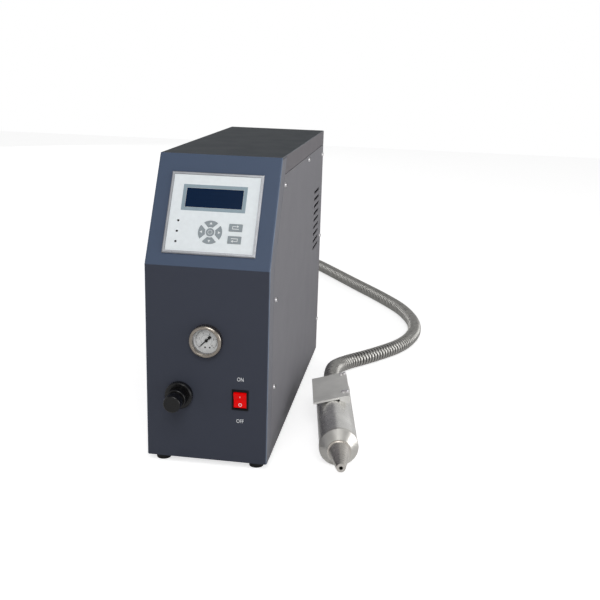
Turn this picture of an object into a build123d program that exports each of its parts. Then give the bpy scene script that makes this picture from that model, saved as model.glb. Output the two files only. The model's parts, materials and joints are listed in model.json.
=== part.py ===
from build123d import *
import math
import os

# A benchtop plasma cleaner: a sheet-metal generator cabinet whose front leans back in its upper part,
# and a round torch that lies on the floor at the end of a ribbed metal hose.
# Millimetres. The origin is on the floor below the centre of the four feet.
# +X is right as seen from the front, +Y is to the back, +Z is up, and the front faces -Y.

os.makedirs("parts", exist_ok=True)

# Cabinet box, without its feet
CABINET_W = 170.0
CABINET_D = 510.0
CABINET_H = 412.0
KINK_H = 274.0
SETBACK = 78.0
SHEET = 1.5
FRONT_BEND_R = 3.0
COVER_BEND_R = 1.2
SEAM = 0.8
FRONT_FLANGE = 28.0
TOP_FLANGE = 24.0

# Feet and their screws
FOOT_H = 11.0
FOOT_LOW_R = 10.0
FOOT_TOP_R = 11.5
FOOT_INSET_X = 18.0
FOOT_INSET_Y = 20.0
FOOT_MOUTH_R = 5.0
FOOT_MOUTH_H = 3.0
FOOT_POCKET_H = 3.0
FOOT_SCREW_R = 2.0
FOOT_HEAD_R = 3.8
FOOT_HEAD_H = 2.6

# Panel screws and the frame they hold on
SCREW_R = 1.5
SCREW_HEAD_R = 3.4
SCREW_HEAD_H = 2.2
SCREW_L = 5.0
SCREW_PLAY = 0.1
SCREW_BEHIND_SEAM = 15.0
UPPER_SCREW_BEHIND = 8.2
TOP_SCREW_BELOW = 7.0
FRAME_T = 3.0
FRAME_STRIP = 24.0
BAR = 14.0

# Vent slots in the side panels
SLOT_COUNT = 9
SLOT_L = 62.0
SLOT_W = 5.0
SLOT_PITCH = 12.3
SLOT_DROP = 98.0
SLOT_REAR_INSET = 38.0

# Control panel on the leaning part
BEZEL_W = 126.0
BEZEL_H = 115.0
BEZEL_FRAME = 3.7
BEZEL_T = 3.2
BEZEL_FOOT = 16.7
OVERLAY_T = 2.0
OVERLAY_PLAY = 0.2
PANEL_CUT_W = 112.0
PANEL_CUT_H = 101.0
WINDOW_W = 77.6
WINDOW_H = 27.0
WINDOW_T = 1.4
WINDOW_Y = 95.5
LAMP_X = -46.0
LAMP_R = 1.5
LAMP_YS = (62.3, 47.6, 33.3)
PAD_X = -1.0
PAD_Y = 48.3
PAD_R = 16.0
PAD_HUB_R = 7.3
PAD_GAP = 5.4
ENTER_R = 5.5
SIDE_KEY_X = 32.7
SIDE_KEY_YS = (56.3, 39.5)
SIDE_KEY_W = 17.9
SIDE_KEY_H = 10.2
KEY_PLAY = 0.25
KEY_PROUD = 0.3
KEY_BACK = 0.3
BOARD_T = 1.6
BOARD_FACE = 4.4
SWITCH_TOP = 0.2
MODULE_FACE = 0.6
MODULE_T = 7.0
POST_RISE = 22.0
POST_EDGE = 3.0
TACT_W = 6.0
TACT_H = 2.4
TACT_R = 1.7

# Pressure gauge
GAUGE_X = 0.0
GAUGE_Z = 174.3
GAUGE_CASE_R = 20.0
GAUGE_BORE_R = 18.8
GAUGE_LEDGE_R = 17.4
GAUGE_DIAL_R = 18.5
GAUGE_BEZEL_R = 22.6
GAUGE_BEZEL_T = 10.0
GAUGE_LIP_R = 17.8
GAUGE_RIM_R = 3.2
GAUGE_LIP_BEND_R = 0.9
GAUGE_LENS_R = 20.8
GAUGE_LENS_T = 1.5
GAUGE_CASE_D = 24.0
GAUGE_RIM = 3.0
GAUGE_STEM_R = 5.0
GAUGE_STEM_L = 14.0
NEEDLE_L = 14.0
NEEDLE_TAIL = 8.5
NEEDLE_WEIGHT_L = 4.5
NEEDLE_T = 0.5
NEEDLE_ZERO = 225.0
NEEDLE_SHAFT_R = 1.0
NEEDLE_PLAY = 0.05
NEEDLE_HUB_R = 2.2

# Pressure regulator
REG_X = -37.8
REG_Z = 93.6
REG_BONNET_R = 15.0
REG_NUT_R = 19.0
REG_NUT_T = 8.0
REG_BLOCK = 38.0
REG_BLOCK_D = 34.0
REG_BONNET_D = 30.0
KNOB_REAR_R = 14.0
KNOB_FRONT_R = 11.8
KNOB_L = 30.5
KNOB_SKIRT = 13.0
KNOB_GAP = 0.6
KNOB_RIBS = 24
SPINDLE_R = 4.0
SPINDLE_PLAY = 0.06
SPINDLE_TIP = 32.5
PORT_R = 6.0
PORT_L = 10.0
PORT_BORE_R = 2.0

# Power switch
SWITCH_X = 47.0
SWITCH_Z = 92.5
SWITCH_BEZEL_W = 23.0
SWITCH_BEZEL_H = 29.5
SWITCH_BEZEL_T = 1.8
SWITCH_BODY_W = 21.4
SWITCH_BODY_H = 26.6
SWITCH_BODY_D = 24.0
SWITCH_POCKET_W = 18.2
SWITCH_PLAY = 0.3
ROCKER_R = 12.0
ROCKER_PIVOT = 4.0
ROCKER_TILT = 9.0
ROCKER_WAIST = 0.5
PIVOT_R = 1.5
PIVOT_L = 1.2
PIVOT_PLAY = 0.06

# Air line
TUBE_R = 3.0
TUBE_BEND_R = 16.0
GAUGE_TUBE_R = 2.0
GAUGE_TUBE_BEND_R = 9.0
INLET_X = 50.0
INLET_Z = 150.0
INLET_BORE_R = 4.05
INLET_BORE_L = 20.0
VALVE_X = -45.0
VALVE_Y = 60.0
VALVE_W = 28.0
VALVE_D = 40.0
VALVE_H = 26.0
COIL_R = 13.0
COIL_H = 34.0
PLUNGER_R = 4.0
PLUNGER_PLAY = 0.08
PLUNGER_STROKE = 2.0

# Fan, power inlet and hose gland on the rear panel
FAN_SIZE = 80.0
FAN_T = 25.0
FAN_DROP = 94.0
FAN_DUCT_R = 37.5
FAN_HUB_R = 16.5
FAN_BLADE_R = 36.0
FAN_BLADES = 7
FAN_SHAFT_R = 2.0
FAN_PLAY = 0.06
FAN_HOLES = 71.5
GUARD_WIRE_R = 1.0
GUARD_H = 4.0
GUARD_BAR_IN = 8.0
GUARD_RINGS = (12.0, 21.0, 30.0, 38.0)
SOCKET_X = 42.0
SOCKET_Z = 52.0
SOCKET_W = 27.4
SOCKET_H = 19.6
SOCKET_D = 22.0
SOCKET_FLANGE_W = 50.0
SOCKET_FLANGE_H = 22.6
SOCKET_FLANGE_T = 2.2
SOCKET_WELL_W = 24.0
SOCKET_WELL_H = 16.4
SOCKET_WELL_D = 15.0
PIN_TIP = 4.5
GLAND_X = -30.0
GLAND_Z = 85.0
GLAND_R = 18.0
GLAND_HEX_R = 20.0
GLAND_THREAD_R = 14.0
GLAND_BORE_R = 9.0
GLAND_L = 30.0

# Transformer and power board, on the base pan
CORE_W = 66.0
CORE_D = 34.0
CORE_H = 56.0
CORE_LIMB = 11.0
CORE_X = 26.0
CORE_Y = 150.0
WINDING_OVER = 12.0
POWER_BOARD_W = 92.0
POWER_BOARD_L = 150.0
POWER_BOARD_X = 26.0
POWER_BOARD_Y = -30.0
STANDOFF_H = 9.0
STANDOFF_R = 3.0
SINK_AT = (22.0, -20.0)
SINK_W = 30.0
SINK_L = 80.0
SINK_BASE = 6.0
SINK_H = 32.0
FIN_T = 1.6
FIN_PITCH = 4.8
FIN_COUNT = 6
CAN_R = 11.0
CAN_H = 32.0
CAN_X = -24.0
CAN_YS = (-46.0, -20.0, 6.0)
CHOKE_AT = (-20.0, 46.0)
CHOKE_W = 34.0
CHOKE_L = 30.0
CHOKE_H = 24.0
RELAY_AT = (24.0, 52.0)
RELAY_W = 30.0
RELAY_L = 22.0
RELAY_H = 16.0

# Torch. Lengths are measured back from the nozzle's tip.
TORCH_TIP_X = 190.0
TORCH_TIP_Y = -277.0
TORCH_TURN = 9.0
BARREL_R = 27.5
BARREL_BORE_R = 25.5
BARREL_FRONT = 70.0
BARREL_REAR = 262.0
CAP_R = 28.0
CAP_RING = 6.0
NOZZLE_TIP_R = 6.4
NOZZLE_BASE_R = 15.5
NOZZLE_FLANGE_R = 17.0
NOZZLE_L = 50.0
NOZZLE_BORE_R = 2.65
NOZZLE_BORE_L = 30.0
NOZZLE_PLENUM_R = 5.0
SPIGOT_R = 9.0
SPIGOT_L = 12.0
SPIGOT_PLAY = 0.05
ELECTRODE_R = 4.0
ELECTRODE_TIP = 42.0
ELECTRODE_CONE = 8.0
ELECTRODE_END_IN = 40.0
INSULATOR_R = 12.0
INSULATOR_RIM = 6.0
INSULATOR_FRONT = 24.0
INSULATOR_END_IN = 14.0
PLUG_IN = 16.0
PLATE_W = 56.0
PLATE_L = 100.0
PLATE_T = 3.0
PLATE_REAR = 268.0
PLATE_ROLL = 14.0
SADDLE_IN = 12.0
SADDLE_DROP = 8.0
PLATE_SCREW_R = 1.5
PLATE_HEAD_R = 2.7
PLATE_HEAD_H = 2.6
PLATE_SCREW_X = (19.2, 25.0)
PLATE_SCREW_FRONT = 17.0
PLATE_SCREW_REAR = 7.0
HOSE_R = 13.5
FERRULE_R = 17.0
FERRULE_END = 300.0
NECK_R = 20.0

BASE = (Align.CENTER, Align.CENTER, Align.MIN)
HANG = (Align.CENTER, Align.CENTER, Align.MAX)

# Places worked out from the sizes above
side_x = CABINET_W / 2
front_y = -CABINET_D / 2
rear_y = CABINET_D / 2
kink_z = FOOT_H + KINK_H
top_z = FOOT_H + CABINET_H
deck_z = FOOT_H + SHEET
lean = math.atan2(SETBACK, CABINET_H - KINK_H)
slot_top = top_z - SLOT_DROP
fan_z = CABINET_H - FAN_DROP
foot_dx = CABINET_W - 2 * FOOT_INSET_X
foot_dy = CABINET_D - 2 * FOOT_INSET_Y

front_plane = Plane(origin=(0, front_y, FOOT_H), x_dir=(1, 0, 0), z_dir=(0, -1, 0))
lean_plane = Plane(origin=(0, front_y, kink_z), x_dir=(1, 0, 0), z_dir=(0, -math.cos(lean), math.sin(lean)))
rear_plane = Plane(origin=(0, rear_y, FOOT_H), x_dir=(-1, 0, 0), z_dir=(0, 1, 0))
left_plane = Plane(origin=(-side_x, 0, 0), x_dir=(0, -1, 0), z_dir=(-1, 0, 0))
right_plane = Plane(origin=(side_x, 0, 0), x_dir=(0, 1, 0), z_dir=(1, 0, 0))


def disc(radius, low, high, at=(0, 0), mode=Mode.ADD):
    """A round bar along the plane's normal, from low to high."""
    with Locations((at[0], at[1], low)):
        Cylinder(radius, high - low, align=BASE, mode=mode)


def block(width, height, low, high, at=(0, 0), mode=Mode.ADD):
    """A square bar along the plane's normal, from low to high."""
    with Locations((at[0], at[1], low)):
        Box(width, height, high - low, align=BASE, mode=mode)


def lean_y(depth, z):
    """How far back the leaning front is at a height, depth inside its skin."""
    return front_y + depth / math.cos(lean) + (z - kink_z) * math.tan(lean)


def skin_y(z):
    """How far back the front's outer skin is at a height."""
    return max(front_y, lean_y(0, z))


def front_line(depth, low, high):
    """The front's side view at a depth inside its skin, from low to high."""
    bend_z = kink_z - depth * math.tan(lean / 2)
    return [(front_y + depth, low), (front_y + depth, bend_z), (lean_y(depth, high), high)]


def side_screws():
    """The places of one side's screws, as (y, z): three behind the front seam, three at the rear, one high up."""
    seam = FRONT_FLANGE + SEAM
    upper_z = top_z - TOP_FLANGE - SCREW_BEHIND_SEAM
    front = [(front_y + seam + SCREW_BEHIND_SEAM, FOOT_H + share * KINK_H) for share in (0.36, 0.82)]
    front.append((lean_y(seam + UPPER_SCREW_BEHIND, upper_z), upper_z))
    rear_row = rear_y - FRAME_STRIP / 2
    rear = [(rear_row, FOOT_H + share * CABINET_H) for share in (0.15, 0.54, 0.9)]
    top = [(front_y + 0.64 * CABINET_D, top_z - TOP_FLANGE - TOP_SCREW_BELOW)]
    return front + rear + top


def rear_screws():
    """The places of the rear panel's screws, as (x, z above the box's underside)."""
    rows = (SHEET + BAR / 2, CABINET_H - SHEET - SEAM - BAR / 2 - SHEET)
    return [(x, z) for x in (-side_x + FRAME_STRIP, side_x - FRAME_STRIP) for z in rows]


# Front panel: one bent sheet, with a flange down each side
front_skin = front_line(0, FOOT_H, top_z)
with BuildPart() as front_panel:
    with BuildSketch(Plane.YZ.offset(-side_x)):
        with BuildLine():
            Polyline(*front_skin, *reversed(front_line(FRONT_FLANGE, FOOT_H, top_z)), close=True)
        make_face()
    extrude(amount=CABINET_W)
    side_edges = front_panel.edges().filter_by(lambda e: abs(abs(e.center().X) - side_x) < 0.01)
    fillet(side_edges.filter_by(lambda e: abs(e.center().Y - skin_y(e.center().Z)) < 0.01), FRONT_BEND_R)
    with BuildSketch(Plane.YZ.offset(-side_x + SHEET)):
        with BuildLine():
            inner = front_line(SHEET, FOOT_H - 1, top_z + 1)
            Polyline(*inner, *reversed(front_line(FRONT_FLANGE + 1, FOOT_H - 1, top_z + 1)), close=True)
        make_face()
    extrude(amount=CABINET_W - 2 * SHEET, mode=Mode.SUBTRACT)
    with BuildSketch(Plane.YZ.offset(-side_x - 1)):
        with BuildLine():
            step_z = top_z - SHEET - SEAM
            notch = [(lean_y(SHEET, step_z), step_z), (lean_y(SHEET, top_z + 1), top_z + 1)]
            Polyline(*notch, (rear_y, top_z + 1), (rear_y, step_z), close=True)
        make_face()
    extrude(amount=CABINET_W + 2, mode=Mode.SUBTRACT)
    with BuildSketch(front_plane):
        with Locations((GAUGE_X, GAUGE_Z)):
            Circle(GAUGE_CASE_R + 0.2)
        with Locations((REG_X, REG_Z)):
            Circle(REG_BONNET_R + 0.2)
        with Locations((SWITCH_X, SWITCH_Z)):
            Rectangle(SWITCH_BODY_W + 0.4, SWITCH_BODY_H + 0.4)
    extrude(amount=-3 * SHEET, mode=Mode.SUBTRACT)
    with BuildSketch(lean_plane):
        with Locations((0, BEZEL_FOOT + BEZEL_H / 2)):
            RectangleRounded(PANEL_CUT_W, PANEL_CUT_H, 3)
    extrude(amount=-3 * SHEET, mode=Mode.SUBTRACT)
front_panel.part.label = "front_panel"
export_step(front_panel.part, "parts/front_panel.step")

# Top cover: a channel whose flanges hang over both sides
with BuildPart() as top_cover:
    flange_z = top_z - TOP_FLANGE
    under_z = top_z - SHEET
    edge = FRONT_FLANGE + SEAM
    with BuildSketch(Plane.YZ.offset(-side_x)):
        with BuildLine():
            Polyline(
                (lean_y(edge, flange_z), flange_z),
                (rear_y, flange_z),
                (rear_y, under_z),
                (lean_y(edge, under_z), under_z),
                close=True,
            )
        make_face()
    extrude(amount=CABINET_W)
    block(CABINET_W - 2 * SHEET, 2 * CABINET_D, flange_z - 1, under_z, mode=Mode.SUBTRACT)
    with BuildSketch(Plane.XY.offset(under_z)):
        sheet_y = lean_y(SHEET + SEAM, top_z)
        with Locations((0, (sheet_y + rear_y) / 2)):
            Rectangle(CABINET_W, rear_y - sheet_y)
    extrude(amount=SHEET)
    long_edges = top_cover.edges().filter_by(Axis.Y).group_by(Axis.Z)[-1]
    fillet(long_edges, COVER_BEND_R)
top_cover.part.label = "top_cover"
export_step(top_cover.part, "parts/top_cover.step")


def side_panel(place):
    """One side panel with its block of vent slots, on the plane of its outer face."""
    turn = place.x_dir.Y
    edge = FRONT_FLANGE + SEAM
    panel_top = top_z - TOP_FLANGE - SEAM
    with BuildPart() as panel:
        with BuildSketch(place):
            with BuildLine():
                outline = front_line(edge, FOOT_H, panel_top) + [(rear_y, panel_top), (rear_y, FOOT_H)]
                Polyline(*[(turn * y, z) for y, z in outline], close=True)
            make_face()
            slot_y = rear_y - SLOT_REAR_INSET - SLOT_L / 2
            for row in range(SLOT_COUNT):
                with Locations((turn * slot_y, slot_top - row * SLOT_PITCH)):
                    SlotOverall(SLOT_L, SLOT_W, mode=Mode.SUBTRACT)
            with Locations(*[(turn * y, z) for y, z in side_screws()]):
                Circle(SCREW_R + SCREW_PLAY, mode=Mode.SUBTRACT)
        extrude(amount=-SHEET)
    return panel.part


left_side_panel = side_panel(left_plane)
left_side_panel.label = "left_side_panel"
export_step(left_side_panel, "parts/left_side_panel.step")
right_side_panel = side_panel(right_plane)
right_side_panel.label = "right_side_panel"
export_step(right_side_panel, "parts/right_side_panel.step")

# Rear panel, inside the side panels and under the top cover
with BuildPart(rear_plane) as rear_panel:
    inside_w = CABINET_W - 2 * SHEET - 2 * SEAM
    inside_h = CABINET_H - SHEET - SEAM
    with BuildSketch(rear_plane):
        with Locations((0, inside_h / 2)):
            Rectangle(inside_w, inside_h)
        with Locations((0, fan_z)):
            Circle(FAN_DUCT_R, mode=Mode.SUBTRACT)
            with GridLocations(FAN_HOLES, FAN_HOLES, 2, 2):
                Circle(SCREW_R + SCREW_PLAY, mode=Mode.SUBTRACT)
        with Locations((-SOCKET_X, SOCKET_Z)):
            Rectangle(SOCKET_W + 0.4, SOCKET_H + 0.4, mode=Mode.SUBTRACT)
            with GridLocations(SOCKET_FLANGE_W - 2 * SCREW_HEAD_R - 2, 0, 2, 1):
                Circle(SCREW_R + SCREW_PLAY, mode=Mode.SUBTRACT)
        with Locations((-INLET_X, INLET_Z)):
            Circle(PORT_R + 0.1, mode=Mode.SUBTRACT)
        with Locations((-GLAND_X, GLAND_Z)):
            Circle(GLAND_THREAD_R + 0.1, mode=Mode.SUBTRACT)
        with Locations(*[(-x, z) for x, z in rear_screws()]):
            Circle(SCREW_R + SCREW_PLAY, mode=Mode.SUBTRACT)
    extrude(amount=-SHEET)
rear_panel.part.label = "rear_panel"
export_step(rear_panel.part, "parts/rear_panel.step")

# Base pan, with the pressed-in posts of the power board
with BuildPart() as base_pan:
    with BuildSketch(Plane.XY.offset(FOOT_H)):
        Rectangle(CABINET_W - 2 * SHEET - 2 * SEAM, CABINET_D - 2 * SHEET - 2 * SEAM)
        with GridLocations(foot_dx, foot_dy, 2, 2):
            Circle(FOOT_SCREW_R + SCREW_PLAY, mode=Mode.SUBTRACT)
    extrude(amount=SHEET)
    with Locations((POWER_BOARD_X, POWER_BOARD_Y, deck_z)):
        with GridLocations(POWER_BOARD_W - 10, POWER_BOARD_L - 10, 2, 2):
            Cylinder(STANDOFF_R, STANDOFF_H, align=BASE)
base_pan.part.label = "base_pan"
export_step(base_pan.part, "parts/base_pan.step")

# Frame: a ring of strip inside each side panel, joined by cross bars
with BuildPart() as chassis_frame:
    skin = SHEET + SEAM
    strip = FRONT_FLANGE + SEAM + 2 * SCREW_BEHIND_SEAM
    low_z = deck_z
    high_z = top_z - SHEET
    outer_ring = front_line(skin, low_z, high_z) + [(rear_y - skin, high_z), (rear_y - skin, low_z)]
    in_top = high_z - TOP_FLANGE - 2 * SCREW_BEHIND_SEAM
    in_low = low_z + FRAME_STRIP
    in_rear = rear_y - skin - FRAME_STRIP
    inner_ring = front_line(strip, in_low, in_top) + [(in_rear, in_top), (in_rear, in_low)]
    for low_x in (-side_x + SHEET, side_x - SHEET - FRAME_T):
        with BuildSketch(Plane.YZ.offset(low_x)):
            with BuildLine():
                Polyline(*outer_ring, close=True)
            make_face()
            with BuildLine():
                Polyline(*inner_ring, close=True)
            make_face(mode=Mode.SUBTRACT)
        extrude(amount=FRAME_T)
    bar_w = CABINET_W - 2 * SHEET - FRAME_T
    bar_y = rear_y - skin - BAR / 2
    for y, z in ((bar_y, deck_z), (bar_y, high_z - BAR), (lean_y(FRONT_FLANGE, high_z) + BAR, high_z - BAR)):
        with Locations((0, y, z)):
            Box(bar_w, BAR, BAR, align=BASE)
    for place in (left_plane, right_plane):
        with BuildSketch(place.offset(-SHEET)):
            with Locations(*[(place.x_dir.Y * y, z) for y, z in side_screws()]):
                Circle(SCREW_R + SCREW_PLAY)
        extrude(amount=-FRAME_T, mode=Mode.SUBTRACT)
    with BuildSketch(rear_plane.offset(-skin)):
        with Locations(*[(-x, z) for x, z in rear_screws()]):
            Circle(SCREW_R + SCREW_PLAY)
    extrude(amount=-SCREW_L - 1, mode=Mode.SUBTRACT)
chassis_frame.part.label = "chassis_frame"
export_step(chassis_frame.part, "parts/chassis_frame.step")

# Feet: rubber, with a mouth, a pocket for the screw's head and a hole for its shank
pocket_top = FOOT_MOUTH_H + FOOT_POCKET_H
with BuildPart() as feet:
    with GridLocations(foot_dx, foot_dy, 2, 2):
        Cone(FOOT_LOW_R, FOOT_TOP_R, FOOT_H, align=BASE)
        Cylinder(FOOT_MOUTH_R, FOOT_MOUTH_H, align=BASE, mode=Mode.SUBTRACT)
        Cylinder(FOOT_HEAD_R + 0.3, pocket_top, align=BASE, mode=Mode.SUBTRACT)
        Cylinder(FOOT_SCREW_R + SCREW_PLAY, FOOT_H, align=BASE, mode=Mode.SUBTRACT)
feet.part.label = "feet"
export_step(feet.part, "parts/feet.step")

with BuildPart(Plane.XY.offset(pocket_top)) as foot_screws:
    with GridLocations(foot_dx, foot_dy, 2, 2):
        Cylinder(FOOT_HEAD_R, FOOT_HEAD_H, align=HANG)
        Cylinder(FOOT_SCREW_R, FOOT_H - pocket_top + SHEET + 2, align=BASE)
    fillet(foot_screws.edges().group_by(Axis.Z)[0], 0.8)
foot_screws.part.label = "foot_screws"
export_step(foot_screws.part, "parts/foot_screws.step")

# Panel screws: domed heads on the sides, the rear panel, the fan and the socket
rear_set = [(-x, z) for x, z in rear_screws()]
fan_set = [(x * FAN_HOLES / 2, fan_z + z * FAN_HOLES / 2) for x in (-1, 1) for z in (-1, 1)]
ear = SOCKET_FLANGE_W / 2 - SCREW_HEAD_R - 1
socket_set = [(-SOCKET_X + sign * ear, SOCKET_Z) for sign in (-1, 1)]
screw_rows = [(place, [(place.x_dir.Y * y, z) for y, z in side_screws()], 0) for place in (left_plane, right_plane)]
screw_rows += [(rear_plane, rear_set + fan_set, 0), (rear_plane, socket_set, SOCKET_FLANGE_T)]
with BuildPart() as panel_screws:
    for place, spots, lift in screw_rows:
        with BuildSketch(place.offset(lift)):
            with Locations(*spots):
                Circle(SCREW_HEAD_R)
        extrude(amount=SCREW_HEAD_H, taper=18)
        with BuildSketch(place.offset(lift)):
            with Locations(*spots):
                Circle(SCREW_R)
        extrude(amount=-SCREW_L)
panel_screws.part.label = "panel_screws"
export_step(panel_screws.part, "parts/panel_screws.step")

# Control panel, on the leaning part
panel_mid = BEZEL_FOOT + BEZEL_H / 2
inner_w = BEZEL_W - 2 * BEZEL_FRAME
inner_h = BEZEL_H - 2 * BEZEL_FRAME
panel_plane = Plane(origin=lean_plane.from_local_coords((0, panel_mid, 0)), x_dir=(1, 0, 0), z_dir=lean_plane.z_dir)
with BuildPart(panel_plane) as display_bezel:
    block(BEZEL_W, BEZEL_H, 0, BEZEL_T)
    chamfer(display_bezel.edges().group_by(lambda e: panel_plane.to_local_coords(e.center()).Z)[-1], 1.2)
    block(inner_w, inner_h, 0, BEZEL_T, mode=Mode.SUBTRACT)
display_bezel.part.label = "display_bezel"
export_step(display_bezel.part, "parts/display_bezel.step")


def arc_key(middle, play):
    """The outline of one key of the round pad: a ring sector with its middle at an angle in degrees."""
    tip = Vector(PAD_GAP / 2 - play, 0).rotate(Axis.Z, middle) * math.sqrt(2)
    low = Vector(2 * PAD_R, 0).rotate(Axis.Z, middle - 45)
    high = Vector(2 * PAD_R, 0).rotate(Axis.Z, middle + 45)
    with BuildSketch() as sector:
        Circle(PAD_R + play)
        Circle(PAD_HUB_R - play, mode=Mode.SUBTRACT)
        with BuildLine():
            Polyline(tip, tip + low, tip + low + high, tip + high, close=True)
        make_face(mode=Mode.INTERSECT)
    return sector.sketch


ARC_KEYS = {"key_right": 0, "key_up": 90, "key_left": 180, "key_down": 270}
SIDE_KEYS = {"key_menu": SIDE_KEY_YS[0], "key_back": SIDE_KEY_YS[1]}
arc_outlines = {name: arc_key(angle, 0) for name, angle in ARC_KEYS.items()}
arc_holes = [arc_key(angle, KEY_PLAY) for angle in ARC_KEYS.values()]

with BuildPart() as membrane_overlay:
    with BuildSketch(lean_plane):
        with Locations((0, panel_mid)):
            Rectangle(inner_w - 2 * OVERLAY_PLAY, inner_h - 2 * OVERLAY_PLAY)
        with Locations((PAD_X, WINDOW_Y)):
            Rectangle(WINDOW_W + 0.2, WINDOW_H + 0.2, mode=Mode.SUBTRACT)
        with Locations(*[(LAMP_X, y) for y in LAMP_YS]):
            Circle(LAMP_R + 0.1, mode=Mode.SUBTRACT)
        with Locations((PAD_X, PAD_Y)):
            for hole in arc_holes:
                add(hole, mode=Mode.SUBTRACT)
            Circle(ENTER_R + KEY_PLAY, mode=Mode.SUBTRACT)
        with Locations(*[(SIDE_KEY_X, y) for y in SIDE_KEY_YS]):
            Rectangle(SIDE_KEY_W + 2 * KEY_PLAY, SIDE_KEY_H + 2 * KEY_PLAY, mode=Mode.SUBTRACT)
    extrude(amount=OVERLAY_T)
    post_x = PANEL_CUT_W / 2 - 4
    with BuildSketch(lean_plane):
        with Locations(*[(x, y) for x in (-post_x, post_x) for y in (PAD_Y - POST_RISE, PAD_Y + POST_RISE)]):
            Circle(2.5)
    extrude(amount=-BOARD_FACE)
    with BuildSketch(lean_plane):
        with Locations(*[(PAD_X + x, WINDOW_Y + y) for x in (-46, 46) for y in (-17, 17)]):
            Circle(2.5)
    extrude(amount=-MODULE_FACE - MODULE_T)
membrane_overlay.part.label = "membrane_overlay"
export_step(membrane_overlay.part, "parts/membrane_overlay.step")

with BuildPart() as display_window:
    with BuildSketch(lean_plane.offset(OVERLAY_T - 0.05)):
        with Locations((PAD_X, WINDOW_Y)):
            Rectangle(WINDOW_W, WINDOW_H)
    extrude(amount=-WINDOW_T)
display_window.part.label = "display_window"
export_step(display_window.part, "parts/display_window.step")

with BuildPart() as display_module:
    with BuildSketch(lean_plane.offset(-MODULE_FACE)):
        with Locations((PAD_X, WINDOW_Y)):
            Rectangle(WINDOW_W + 7, WINDOW_H + 2)
    extrude(amount=-MODULE_T)
    with BuildSketch(lean_plane.offset(-MODULE_FACE - MODULE_T)):
        with Locations((PAD_X, WINDOW_Y)):
            Rectangle(WINDOW_W + 20, WINDOW_H + 13)
    extrude(amount=-BOARD_T)
display_module.part.label = "display_module"
export_step(display_module.part, "parts/display_module.step")

# Control board, with a tactile switch behind each key
arc_middle = (PAD_HUB_R + PAD_R) / 2
switch_spots = [(PAD_X, PAD_Y)]
for angle in ARC_KEYS.values():
    turn = math.radians(angle)
    switch_spots.append((PAD_X + arc_middle * math.cos(turn), PAD_Y + arc_middle * math.sin(turn)))
switch_spots += [(SIDE_KEY_X, y) for y in SIDE_KEY_YS]
with BuildPart() as control_board:
    with BuildSketch(lean_plane.offset(-BOARD_FACE)):
        with Locations((0, PAD_Y)):
            Rectangle(2 * (post_x + POST_EDGE), 2 * (POST_RISE + POST_EDGE))
    extrude(amount=-BOARD_T)
    with BuildSketch(lean_plane.offset(-BOARD_FACE)):
        with Locations(*switch_spots):
            Rectangle(TACT_W, TACT_W)
    extrude(amount=TACT_H)
    with BuildSketch(lean_plane.offset(-BOARD_FACE)):
        with Locations(*switch_spots):
            Circle(TACT_R)
    extrude(amount=BOARD_FACE - SWITCH_TOP)
control_board.part.label = "control_board"
export_step(control_board.part, "parts/control_board.step")

with BuildPart() as status_lamps:
    with BuildSketch(lean_plane.offset(-BOARD_FACE)):
        with Locations(*[(LAMP_X, y) for y in LAMP_YS]):
            Circle(LAMP_R)
    extrude(amount=BOARD_FACE + OVERLAY_T - 0.1)
status_lamps.part.label = "status_lamps"
export_step(status_lamps.part, "parts/status_lamps.step")

# Keys: each slides in its own hole of the overlay
key_low = lean_plane.offset(KEY_BACK)
key_high = OVERLAY_T + KEY_PROUD - KEY_BACK
for name, outline in arc_outlines.items():
    with BuildPart() as arc_piece:
        with BuildSketch(key_low):
            with Locations((PAD_X, PAD_Y)):
                add(outline)
        extrude(amount=key_high)
    arc_piece.part.label = name
    export_step(arc_piece.part, f"parts/{name}.step")

for name, place_y in SIDE_KEYS.items():
    with BuildPart() as side_key:
        with BuildSketch(key_low):
            with Locations((SIDE_KEY_X, place_y)):
                RectangleRounded(SIDE_KEY_W, SIDE_KEY_H, 0.6)
        extrude(amount=key_high)
    side_key.part.label = name
    export_step(side_key.part, f"parts/{name}.step")

with BuildPart() as key_enter:
    with BuildSketch(key_low):
        with Locations((PAD_X, PAD_Y)):
            Circle(ENTER_R)
    extrude(amount=key_high)
key_enter.part.label = "key_enter"
export_step(key_enter.part, "parts/key_enter.step")

# Pressure gauge, on the axis of its own hole
gauge_plane = Plane(origin=front_plane.from_local_coords((GAUGE_X, GAUGE_Z, 0)), x_dir=(1, 0, 0), z_dir=(0, -1, 0))
with BuildPart(gauge_plane) as gauge_case:
    disc(GAUGE_CASE_R, -GAUGE_CASE_D, GAUGE_RIM)
    disc(GAUGE_BORE_R, -1, GAUGE_RIM, mode=Mode.SUBTRACT)
    disc(GAUGE_LEDGE_R, -GAUGE_CASE_D + 2, -1, mode=Mode.SUBTRACT)
    disc(3, -GAUGE_CASE_D + 1, -2)
    disc(NEEDLE_SHAFT_R + NEEDLE_PLAY, -GAUGE_CASE_D + 4, 0, mode=Mode.SUBTRACT)
    disc(GAUGE_STEM_R + 3, -GAUGE_CASE_D - 5, -GAUGE_CASE_D)
    disc(GAUGE_STEM_R, -GAUGE_CASE_D - GAUGE_STEM_L, -GAUGE_CASE_D)
gauge_case.part.label = "gauge_case"
export_step(gauge_case.part, "parts/gauge_case.step")

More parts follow.
